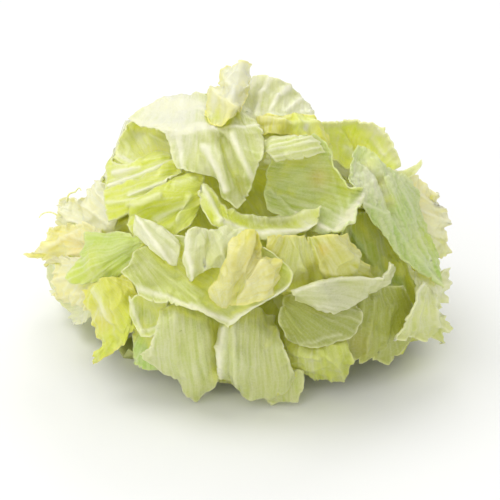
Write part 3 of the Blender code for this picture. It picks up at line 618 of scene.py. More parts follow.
    def inner_relief(self):
        """The height of folds, pleats, creases, bubbles and veins."""
        look = self.look
        height = self.fold_height + look.vein[0] * self.veins
        pleat, width = look.pleat
        height += pleat * self.noise(self.fan / (width, width * PLEAT_LENGTH), "pleats")
        creases = np.abs(self.noise(self.points / (look.crease[1] * MM), "creases"))
        height += look.crease[0] * (1 - CREASE_DEPTH * creases)
        height += CRINKLE * self.noise(self.points / CRINKLE_LENGTH, "crinkle")
        bubbles = bubble_field(self.points / (look.blister[1] * MM), self.shift + SHIFTS["bubbles"])
        return height + look.blister[0] * bubbles * (1 - self.ribs)

    def side_relief(self):
        """The height of curls, lips and frills beside the four sides."""
        look, height = self.look, self.zeros()
        for side, (away, along) in enumerate(zip(self.from_side, self.along_side)):
            height += look.curl[side] * fading(away, CURL_REACH) ** 2
            height += LIP_HEIGHT * uneven(look.draw, along, LIP_WAVE) * fading(away, LIP_REACH) ** 2
            waves = look.frill[side] * ruffle(look.draw, along, look.wave)
            height += waves * fading(away, FRILL_REACH) ** FRILL_FADE
        return height

    def sink_under_skyline(self):
        """Sinks whatever would stand out over the front leaves in the photograph's view."""
        x, y = np.moveaxis(in_view(self.points), -1, 0)
        over = np.maximum(np.interp(x, *zip(*SKYLINE)) - y, 0) * POINT * MM
        self.points[..., 2] -= over / math.cos(VIEW_ELEVATION)

    def faces(self):
        columns, rows = self.cells + 1
        corner = np.arange(columns * rows).reshape(rows, columns)
        around = (corner[:-1, :-1], corner[:-1, 1:], corner[1:, 1:], corner[1:, :-1])
        return np.stack(around, axis=-1).reshape(-1, 4)


def view_axes():
    """The ways right, up and ahead in the view."""
    up = Vector((0.0, math.sin(VIEW_ELEVATION), math.cos(VIEW_ELEVATION)))
    ahead = Vector((0.0, math.cos(VIEW_ELEVATION), -math.sin(VIEW_ELEVATION)))
    return Vector((1.0, 0.0, 0.0)), up, ahead


def view_eye():
    return Vector(VIEW_MIDDLE) - view_axes()[2] * VIEW_DISTANCE


def in_view(points):
    """Where the view shows each point."""
    across, up, ahead = (np.array(axis) for axis in view_axes())
    away = points - np.array(view_eye())
    scale = VIEW_POINTS * VIEW_DISTANCE / VIEW_ACROSS / (away @ ahead)
    return np.stack((VIEW_POINTS / 2 + away @ across * scale, VIEW_POINTS / 2 - away @ up * scale), axis=-1)


def from_view(place, depth):
    """The point that the view shows at a place, so far ahead of the eye."""
    across, up, ahead = view_axes()
    x, y = ((share / VIEW_POINTS - 0.5) * VIEW_ACROSS / VIEW_DISTANCE for share in place)
    return view_eye() + (ahead + across * x - up * y) * depth


def read_vertices(mesh, name):
    values = np.zeros(len(mesh.vertices) * 3)
    mesh.vertices.foreach_get(name, values)
    return values.reshape(-1, 3)


def tree_and_box(points, faces):
    """A tree of the faces, and the corners of the points' box."""
    return BVHTree.FromPolygons(points.tolist(), faces), points.min(axis=0), points.max(axis=0)


def laid_leaves():
    """The trees and boxes of the leaves that are laid so far."""
    return [tree_and_box(read_vertices(piece.data, "co"), [face.vertices[:] for face in piece.data.polygons])
            for piece in bpy.data.objects if piece.get("lettuce_leaf")]


def press_clear(sheet, laid):
    """Moves the sheet towards its onlooker wherever a laid leaf stands in its way."""
    points = sheet.points.reshape(-1, 3)
    towards = onlooker(sheet, points)
    need = np.zeros(len(points))
    reach = PRESS_MOST + PRESS_DEPTH
    low, high = points.min(axis=0) - reach, points.max(axis=0) + reach
    for tree, laid_low, laid_high in laid:
        if np.any(laid_low > high) or np.any(laid_high < low):
            continue
        for index, (point, way) in enumerate(zip(points.tolist(), towards.tolist())):
            point, way = Vector(point), Vector(way)
            found = tree.ray_cast(point + way * PRESS_START, -way, PRESS_START + PRESS_DEPTH)[3]
            if found is not None:
                need[index] = max(need[index], PRESS_START - found + PRESS_GAP)
    need = np.minimum(carried_over(need.reshape(sheet.across.shape)), PRESS_MOST)
    sheet.points += towards.reshape(sheet.points.shape) * need[..., None]


def onlooker(sheet, points):
    """The way from each point to whoever looks at the leaf."""
    if not sheet.look.front:
        return np.tile(mean_normal(sheet.net), (len(points), 1))
    towards = np.array(view_eye()) - points
    return towards / np.linalg.norm(towards, axis=1)[:, None]


def neighbours(values):
    """The values, and those of the eight cells about each one."""
    rows, columns = values.shape
    wide = np.pad(values, 1, mode="edge")
    return [wide[i:i + rows, j:j + columns] for i in range(3) for j in range(3)]


def carried_over(need):
    """The need, widened by some cells and evened out."""
    for _ in range(PRESS_SPREAD):
        need = np.maximum.reduce(neighbours(need))
    for _ in range(PRESS_SPREAD):
        need = sum(neighbours(need)) / 9
    return need


def select_only(piece):
    bpy.ops.object.select_all(action="DESELECT")
    piece.select_set(True)
    bpy.context.view_layer.objects.active = piece


def lay(looks):
    """Lays the leaves in order, each one clear of all those before it."""
    laid = laid_leaves()
    for look in looks:
        lay_leaf(look, laid)


def lay_leaf(look, laid):
    """Lays a leaf's sheet on the heap, makes it a solid piece, and adds it to those laid."""
    sizes = bpy.context.scene.lettuce_sizes
    sheet = Sheet(look, sizes)
    press_clear(sheet, laid)
    laid.append(tree_and_box(sheet.points.reshape(-1, 3), sheet.faces().tolist()))
    piece = grid_piece(sheet, look.node.replace("leaf", "sheet"))
    for mask in MASKS:
        write_mask(piece.data, mask, getattr(sheet, mask))
    lay_grain(piece, sheet)
    thicken(piece, sheet, sizes)
    for places in look.threads:
        add_thread(piece, sheet, places)
    piece.data.shade_smooth()
    hand_over(piece, look.node, look.tint)


def grid_piece(sheet, name):
    """A grid whose points are the sheet's."""
    bpy.ops.object.select_all(action="DESELECT")
    columns, rows = sheet.cells.tolist()
    bpy.ops.mesh.primitive_grid_add(x_subdivisions=columns, y_subdivisions=rows, size=1.0, calc_uvs=True)
    piece = bpy.context.object
    piece.name = piece.data.name = name
    piece["lettuce_leaf"] = True
    piece.data.vertices.foreach_set("co", sheet.points.ravel())
    return piece


def write_mask(mesh, name, values):
    mesh.attributes.new(name, "FLOAT", "POINT").data.foreach_set("value", values.astype(np.float32).ravel())


def change_mask(mesh, name, change):
    """Works a mask of the mesh over and keeps it between 0 and 1."""
    values = np.zeros(len(mesh.vertices), np.float32)
    data = mesh.attributes[name].data
    data.foreach_get("value", values)
    data.foreach_set("value", np.clip(change(values), 0, 1).astype(np.float32))


def hand_over(piece, node, tint):
    """Gives a finished piece its material and its place in the frame."""
    piece.data.materials.clear()
    piece.data.materials.append(bpy.data.materials["lettuce_" + tint])
    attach(piece, "root")
    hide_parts(node)
    slot_of(node)


def slot_of(node):
    for part in frame["record"]["subparts"]:
        if part["node"] == node:
            return part["material_slot"]
    raise ValueError(f"no part is named {node}")


def lay_grain(piece, sheet):
    """The piece's own map, in metres across and along its veins."""
    flat = sheet.fan.reshape(-1, 2) * MM
    corners = np.zeros(len(piece.data.loops), int)
    piece.data.loops.foreach_get("vertex_index", corners)
    layer = piece.data.uv_layers[0]
    layer.name = "grain"
    layer.data.foreach_set("uv", flat[corners].astype(np.float32).ravel())


def thicken(piece, sheet, sizes):
    """Makes the sheet a solid, thicker along its ribs."""
    group = piece.vertex_groups.new(name="thickness")
    thin = 1.0 / sizes.rib_share
    for index, share in enumerate(sheet.ribs.ravel().tolist()):
        group.add([index], thin + (1 - thin) * share, "REPLACE")
    solid = piece.modifiers.new("thickness", "SOLIDIFY")
    solid.thickness = sizes.blade * sizes.rib_share
    solid.offset = -1.0
    solid.vertex_group = group.name
    select_only(piece)
    bpy.ops.object.modifier_apply(modifier=solid.name)
    for vertex in piece.data.vertices:
        vertex.co.z = max(vertex.co.z, 0.0)


def add_thread(piece, sheet, places):
    """Joins a hair-thin curl to the leaf, at the depth of the leaf's own point under the curl's start."""
    away = np.linalg.norm(sheet.flat - places[0], axis=-1)
    start = Vector(sheet.points[np.unravel_index(away.argmin(), away.shape)])
    depth = (start - view_eye()).dot(view_axes()[2])
    thread = bpy.data.objects.new("thread", thread_curve([from_view(place, depth) for place in places]))
    bpy.context.scene.collection.objects.link(thread)
    select_only(thread)
    bpy.ops.object.convert(target="MESH")
    thread = bpy.context.object
    for mask in ("white", "lime"):
        write_mask(thread.data, mask, np.full(len(thread.data.vertices), THREAD_TINT))
    select_only(piece)
    thread.select_set(True)
    bpy.ops.object.join()


def thread_curve(points):
    """A round curve through the points that tapers towards its end."""
    curve = bpy.data.curves.new("thread", "CURVE")
    curve.dimensions = "3D"
    curve.bevel_depth = THREAD_RADIUS
    curve.use_fill_caps = True
    spline = curve.splines.new("NURBS")
    spline.points.add(len(points) - 1)
    spline.use_endpoint_u = True
    for number, (knot, point) in enumerate(zip(spline.points, points)):
        knot.co = (*point, 1.0)
        knot.radius = 1.0 - THREAD_TAPER * number / len(points)
    return curve


def hollow_ways():
    """Even ways up and outwards, for telling how open a place is."""
    ways = []
    for number in range(HOLLOW_RAYS):
        height = (number + 0.5) / HOLLOW_RAYS
        turn = number * math.pi * (3 - math.sqrt(5))
        level = math.sqrt(1 - height * height)
        ways.append(Vector((level * math.cos(turn), level * math.sin(turn), height)))
    return ways


def tree_of(meshes):
    """One tree of the faces of all the meshes."""
    points, faces = [], []
    for mesh in meshes:
        start = len(points)
        points += [vertex.co[:] for vertex in mesh.vertices]
        faces += [[start + corner for corner in face.vertices] for face in mesh.polygons]
    return BVHTree.FromPolygons(points, faces)


def closed_share(tree, points, outward, ways):
    """The share of the ways from each point that meet a leaf nearby."""
    shares = []
    for point, out in zip(points.tolist(), outward.tolist()):
        start, out = Vector(point), Vector(out)
        start += out * PRESS_GAP
        facing = [way for way in ways if way.dot(out) > HOLLOW_FACING] or [Vector((0.0, 0.0, 1.0))]
        met = sum(tree.ray_cast(start, way, HOLLOW_REACH)[3] is not None for way in facing)
        shares.append(met / len(facing))
    return np.array(shares)


def evened_over(mesh, values):
    """Values evened out between the vertices that edges join."""
    ends = np.zeros(len(mesh.edges) * 2, int)
    mesh.edges.foreach_get("vertices", ends)
    a, b = ends.reshape(-1, 2).T
    for _ in range(HOLLOW_ROUNDS):
        total, count = values.copy(), np.ones(len(values))
        for one, other in ((a, b), (b, a)):
            np.add.at(total, one, values[other])
            np.add.at(count, one, 1)
        values = total / count
    return values


def new_group(name, inputs, outputs):
    """A shader group with its sockets, all of them numbers, and its two end nodes."""
    tree = bpy.data.node_groups.new(name, "ShaderNodeTree")
    for label, value in inputs.items():
        socket = tree.interface.new_socket(name=label, in_out="INPUT", socket_type="NodeSocketFloat")
        socket.default_value = value
    for label in outputs:
        tree.interface.new_socket(name=label, in_out="OUTPUT", socket_type="NodeSocketFloat")
    return tree, tree.nodes.new("NodeGroupInput"), tree.nodes.new("NodeGroupOutput")


def feed(tree, socket, value):
    """Gives a socket a value, or links it to the socket that has it."""
    if isinstance(value, bpy.types.NodeSocket):
        tree.links.new(value, socket)
    else:
        socket.default_value = value


def computed(tree, operation, *values, clamp=False):
    """The socket with what a sum of numbers and other sockets comes to."""
    node = tree.nodes.new("ShaderNodeMath")
    node.operation = operation
    node.use_clamp = clamp
    for index, value in enumerate(values):
        feed(tree, node.inputs[index], value)
    return node.outputs[0]


def mixed(tree, share, first, second):
    """The socket with a colour between two others."""
    node = tree.nodes.new("ShaderNodeMix")
    node.data_type = "RGBA"
    sockets = [socket for socket in node.inputs if socket.enabled]
    for socket, value in zip(sockets, (share, first, second)):
        feed(tree, socket, value)
    return next(socket for socket in node.outputs if socket.enabled)


def cloud_of(tree, place, scale, detail):
    """Noise at a place."""
    cloud = tree.nodes.new("ShaderNodeTexNoise")
    cloud.inputs["Detail"].default_value = detail
    tree.links.new(place, cloud.inputs["Vector"])
    feed(tree, cloud.inputs["Scale"], scale)
    return cloud.outputs["Fac"]


def vein_net_group():
    """A leaf's fine net of veins and its fibres on its own map, and the grain of its skin."""
    tree, inside, outside = new_group("leaf_vein_net", NET_SIZES, ("Net", "Fibres", "Relief"))
    grain = tree.nodes.new("ShaderNodeUVMap")
    grain.uv_map = "grain"
    place = grain.outputs["UV"]
    cells = tree.nodes.new("ShaderNodeTexVoronoi")
    cells.feature = "DISTANCE_TO_EDGE"
    tree.links.new(place, cells.inputs["Vector"])
    tree.links.new(computed(tree, "DIVIDE", 1.0, inside.outputs["Cell Size"]), cells.inputs["Scale"])
    wide = computed(tree, "MULTIPLY", cells.outputs["Distance"], NET_FALL)
    line = computed(tree, "SUBTRACT", 1.0, wide, clamp=True)
    fibres = fibre_lines(tree, place, inside)
    skin = cloud_of(tree, place, computed(tree, "DIVIDE", 1.0, inside.outputs["Skin Size"]), SKIN_DETAIL)
    relief = computed(tree, "MULTIPLY_ADD", line, NET_RELIEF, skin)
    tree.links.new(line, outside.inputs["Net"])
    tree.links.new(fibres, outside.inputs["Fibres"])
    tree.links.new(computed(tree, "ADD", relief, fibres), outside.inputs["Relief"])
    return tree


def fibre_lines(tree, place, inside):
    """Noise drawn out along the leaf's veins."""
    pitch = tree.nodes.new("ShaderNodeCombineXYZ")
    for axis, size in (("X", "Fibre Width"), ("Y", "Fibre Length")):
        tree.links.new(computed(tree, "DIVIDE", 1.0, inside.outputs[size]), pitch.inputs[axis])
    drawn_out = tree.nodes.new("ShaderNodeVectorMath")
    drawn_out.operation = "MULTIPLY"
    tree.links.new(place, drawn_out.inputs[0])
    tree.links.new(pitch.outputs["Vector"], drawn_out.inputs[1])
    lines = cloud_of(tree, drawn_out.outputs["Vector"], 1.0, FIBRE_DETAIL)
    centred = computed(tree, "SUBTRACT", lines, 0.5)
    return computed(tree, "MULTIPLY_ADD", centred, FIBRE_CONTRAST, 0.5, clamp=True)


def mottle_group():
    """Slow changes of tone over the heap."""
    tree, inside, outside = new_group("leaf_mottle", TONE_SIZES, ("Tone",))
    place = tree.nodes.new("ShaderNodeTexCoord").outputs["Object"]
    cloud = cloud_of(tree, place, computed(tree, "DIVIDE", 1.0, inside.outputs["Length"]), TONE_DETAIL)
    centred = computed(tree, "SUBTRACT", cloud, 0.5)
    tone = computed(tree, "MULTIPLY_ADD", centred, inside.outputs["Contrast"], 0.5, clamp=True)
    tree.links.new(tone, outside.inputs["Tone"])
    return tree


def read_mask(tree, name):
    node = tree.nodes.new("ShaderNodeAttribute")
    node.attribute_name = name
    return node.outputs["Fac"]


def placed_group(tree, group):
    node = tree.nodes.new("ShaderNodeGroup")
    node.node_tree = group
    return node.outputs


def leaf_body(tree, blade, lush, colours, veins, tone):
    """The leaf's colour without its rim: from blade to its deeper tone and painted shade, then its patches,
    painted shade and painted light, and the white of its ribs.
    """
    # Deeper tone and painted shade
    deep = computed(tree, "MULTIPLY", read_mask(tree, "lush"), computed(tree, "ADD", tone, TONE_LEAST))
    deep = computed(tree, "ADD", deep, LUSH_START)
    deep = computed(tree, "MULTIPLY_ADD", veins["Fibres"], FIBRE_LUSH, deep, clamp=True)
    body = mixed(tree, deep, blade, lush)
    # Warm patches are the leaves' own colour; the lime is partly painted light, the hollow colour is painted
    # light, and the olive is painted shade
    for patch_and_painted_light in ("lime", "warm", "hollow", "olive"):
        body = mixed(tree, read_mask(tree, patch_and_painted_light), body, (*getattr(colours, patch_and_painted_light), 1.0))
    white = computed(tree, "MULTIPLY_ADD", veins["Net"], NET_WHITE, read_mask(tree, "white"))
    fibres = computed(tree, "SUBTRACT", veins["Fibres"], FIBRE_LEVEL)
    white = computed(tree, "MULTIPLY_ADD", fibres, FIBRE_WHITE, white, clamp=True)
    return mixed(tree, white, body, (*colours.rib, 1.0))


def leaf_material(tint, colours, vein_net, mottle):
    """The finish of one kind of leaf."""
    material = bpy.data.materials.new("lettuce_" + tint)
    material.use_nodes = True
    tree = material.node_tree
    shader = tree.nodes["Principled BSDF"]
    blade, lush, rim = ((*getattr(colours, f"{tint}_{part}"), 1.0) for part in ("blade", "lush", "rim"))
    veins = placed_group(tree, vein_net)
    body = leaf_body(tree, blade, lush, colours, veins, placed_group(tree, mottle)["Tone"])
    edge = computed(tree, "MULTIPLY", read_mask(tree, "edge"), RIM_SHARE)
    tree.links.new(mixed(tree, edge, body, rim), shader.inputs["Base Color"])
    bump = tree.nodes.new("ShaderNodeBump")
    for node, values in ((bump, SKIN_BUMP), (shader, SKIN)):
        for socket, value in values.items():
            node.inputs[socket].default_value = value
    tree.links.new(veins["Relief"], bump.inputs["Height"])
    tree.links.new(bump.outputs["Normal"], shader.inputs["Normal"])


def soft_light(name, place, size, power):
    """A round white lamp that is turned to the heap."""
    bpy.ops.object.select_all(action="DESELECT")
    bpy.ops.object.light_add(type="AREA", location=place)
    lamp = bpy.context.object
    lamp.name = name
    lamp.data.shape = "DISK"
    lamp.data.size = size
    lamp.data.energy = power
    lamp.rotation_euler = (LAMP_AIM - Vector(place)).to_track_quat("-Z", "Y").to_euler()


class LETTUCE_OT_finishes(bpy.types.Operator):
    """Makes the material of each kind of leaf"""

    bl_idname = "lettuce.finishes"
    bl_label = "Leaf Finishes"

    def execute(self, context):
        vein_net, mottle = vein_net_group(), mottle_group()
        for tint in LEAF_TINTS:
            leaf_material(tint, context.scene.lettuce_colours, vein_net, mottle)
        return {"FINISHED"}


class LETTUCE_OT_stage(bpy.types.Operator):
    """Sets the pale floor, the soft light and the camera at the photograph's view"""

    bl_idname = "lettuce.stage"
    bl_label = "Stage"

    def execute(self, context):
        self.set_floor(context)
        self.set_light(context)
        self.set_camera(context)
        context.scene.view_settings.view_transform = "Standard"
        return {"FINISHED"}

    def set_floor(self, context):
        bpy.ops.object.select_all(action="DESELECT")
        bpy.ops.mesh.primitive_plane_add(size=FLOOR_SIZE, location=(0.0, 0.0, 0.0))
        floor = context.object
        floor.name = "pale_floor"
        material = bpy.data.materials.new("pale_floor")
        material.use_nodes = True
        shader = material.node_tree.nodes["Principled BSDF"]
        shader.inputs["Base Color"].default_value = (*context.scene.lettuce_colours.floor, 1.0)
        shader.inputs["Roughness"].default_value = FLOOR_ROUGHNESS
        floor.data.materials.append(material)

    def set_light(self, context):
        light = context.scene.lettuce_light
        world = bpy.data.worlds.new("pale_room")
        world.use_nodes = True
        room = world.node_tree.nodes["Background"]
        room.inputs["Color"].default_value = (1.0, 1.0, 1.0, 1.0)
        room.inputs["Strength"].default_value = light.room
        context.scene.world = world
        for name, (place, size) in LAMPS.items():
            soft_light(name + "_light", place, size, getattr(light, name))

    def set_camera(self, context):
        data = bpy.data.cameras.new("photo_view")
        data.sensor_width = SENSOR
        data.lens = SENSOR * VIEW_DISTANCE / VIEW_ACROSS
        data.clip_start = NEAREST
        camera = bpy.data.objects.new("photo_view", data)
        context.scene.collection.objects.link(camera)
        across, up, ahead = view_axes()
        turn = Matrix((across, up, -ahead)).transposed().to_4x4()
        camera.matrix_world = Matrix.Translation(view_eye()) @ turn
        context.scene.camera = camera


AROUND_TINTS = ("lime", "pale", "yellow", "pale", "green", "pale", "green", "pale", "lime", "pale", "cream",
                "lime", "pale", "yellow", "pale", "green")
AROUND_ROOT = 70.0  # mm from the sheet's middle
AROUND_RIB = (25.0, -6.0)  # where the rib starts and ends on the way from the root
AROUND_RIB_HALF = (2.0, 3.2)  # least and greatest half width, and so on for the pairs below
AROUND_RIB_HEIGHT = (1.0, 1.8)
AROUND_RIB_WHITE = 0.95
AROUND_FRILLS = (0.6, 1.0, 2.2)  # a side has one of these
AROUND_WAVE = (8, 12)
AROUND_WHITE = (0.5, 0.8)
AROUND_CURL = (-1.0, 1.5)
WHITE_REACH = 30
HEART_TINTS = {"core_leaf": "yellow", "inner_leaf_1": "lime", "inner_leaf_2": "lime", "inner_leaf_3": "lime",
               "inner_leaf_4": "lime"}


def around_looks():
    """The leaves of the sides, the back and the top. Each has one rib and frills of its own."""
    looks = []
    for number, tint in enumerate(AROUND_TINTS, 1):
        draw = random.Random(number)
        turn = draw.uniform(0, math.tau)
        way = np.array((math.cos(turn), math.sin(turn)))
        foot, tip = (reach * way for reach in AROUND_RIB)
        rib = (*foot, *tip, draw.uniform(*AROUND_RIB_HALF), draw.uniform(*AROUND_RIB_HEIGHT),
               AROUND_RIB_WHITE)
        looks.append(Look(f"back_leaf_{number}", tint, pitch=AROUND_PITCH, front=False,
                          root=AROUND_ROOT * way, folds=(rib,),
                          frill=[draw.choice(AROUND_FRILLS) for _ in range(4)],
                          wave=draw.uniform(*AROUND_WAVE),
                          white=(draw.uniform(*AROUND_WHITE), WHITE_REACH),
                          curl=[draw.uniform(*AROUND_CURL) for _ in range(4)],
                          pleat=(1, 7), crease=(1, 16)))
    return looks


def heart_looks():
    """The leaves inside, which hardly show."""
    return [Look(node, tint, pitch=HIDDEN_PITCH, front=False, root=(0, -80), white=(0.1, WHITE_REACH))
            for node, tint in HEART_TINTS.items()]


def deep_looks():
    """The leaves at the bottom of the heap's hollows and at its left and right edges."""
    return [
        Look("lime_hollow", "lime", root=(180, 120), pleat=(1.6, 8), white=(0, 30),
             folds=((212, 196, 236, 226, -3, 1.6, 0.3), (252, 188, 262, 214, -3, 1.4, 0.2),
                    (168, 226, 200, 232, -2.5, 1.4, 0.3))),
        Look("deep_green", "green", root=(350, 140), white=(0.1, 30), lush=0.6, lime=0.05, olive=0.38,
             folds=((352, 236, 376, 272, -3, 1.6, 0.1), (398, 246, 404, 290, 2, 1.2, 0.2)),
             marks=((396, 286, 18, "lush", 0.6), (396, 286, 20, "white", -0.2))),
        Look("right_back", "pale", root=(400, 180), frill=(1.5, 2, 1.5, 0.5), wave=8, white=(0.6, 40)),
        Look("blush_crest", "cream", root=(130, 230), frill=(0.5, 0.5, 1.6, 1.6), wave=7,
             tear=(1, 1, 1.8, 1.8), crease=(1, 10), white=(0.8, 40),
             folds=((70, 195, 110, 225, -2.2, 1.6, 0.8), (92, 186, 112, 210, 1.4, 1.2, 0.9),
                    (62, 216, 100, 232, -2, 1.4, 0.5)),
             threads=(((67, 202), (67, 196), (71, 192), (75, 193), (77, 189), (80, 187), (81, 191)),
                      ((62, 217), (58, 216), (53, 212), (46, 212), (41, 214), (39, 218)))),
        Look("cream_fan", "cream", root=(110, 245), frill=(1.6, 0.5, 1.4, 1.2), wave=7,
             tear=(1.5, 1, 1.5, 0.8), crease=(1, 9), white=(0.35, 40),
             folds=((40, 252, 80, 232, -2, 1.6, 0.6), (48, 262, 84, 250, -2, 1.4, 0.4),
                    (56, 232, 80, 240, 1.2, 1, 0.3)),
             marks=((74, 243, 9, "warm", 0.6), (62, 240, 18, "lush", 0.7), (84, 250, 10, "warm", 0.4))),
        Look("cream_low", "cream", root=(115, 255), frill=(1.8, 0.5, 0.5, 1.8), wave=7,
             tear=(1.8, 1, 1, 1.8), crease=(1, 10), white=(0.5, 40),
             folds=((52, 282, 92, 268, -2.2, 1.6, 0.6), (62, 298, 92, 290, -2, 1.2, 0.4)),
             marks=((80, 300, 14, "lush", 0.6),)),
        Look("upper_right_cup", "lime", root=(340, 190), frill=(0.5, 1, 1.2, 0.8), wave=9, white=(0, 30),
             folds=((328, 124, 358, 119, 2.6, 0.6, 0.8), (358, 119, 388, 136, 3, 0.6, 0.7),
                    (388, 136, 401, 166, 3.4, 0.6, 0.6), (344, 150, 356, 158, -2.4, 2, 0.5),
                    (340, 132, 350, 150, -2.2, 1.8, 0.2), (372, 138, 384, 156, 2, 1, 0.5)),
             marks=((372, 126, 14, "white", 0.6), (390, 150, 12, "white", 0.5))),
        Look("left_cup", "lime", root=(170, 190), frill=(0.5, 0.5, 1, 1), white=(0.5, 60),
             folds=((118, 156, 136, 166, 1.6, 0.8, 0.9), (136, 166, 164, 160, 1.6, 0.8, 0.8),
                    (132, 122, 128, 156, 2, 0.6, 0.6), (152, 136, 172, 146, -2, 1.6, 0.7))),
        Look("under_green", "green", root=(150, 300), white=(0.1, 20), lush=0.4),
    ]


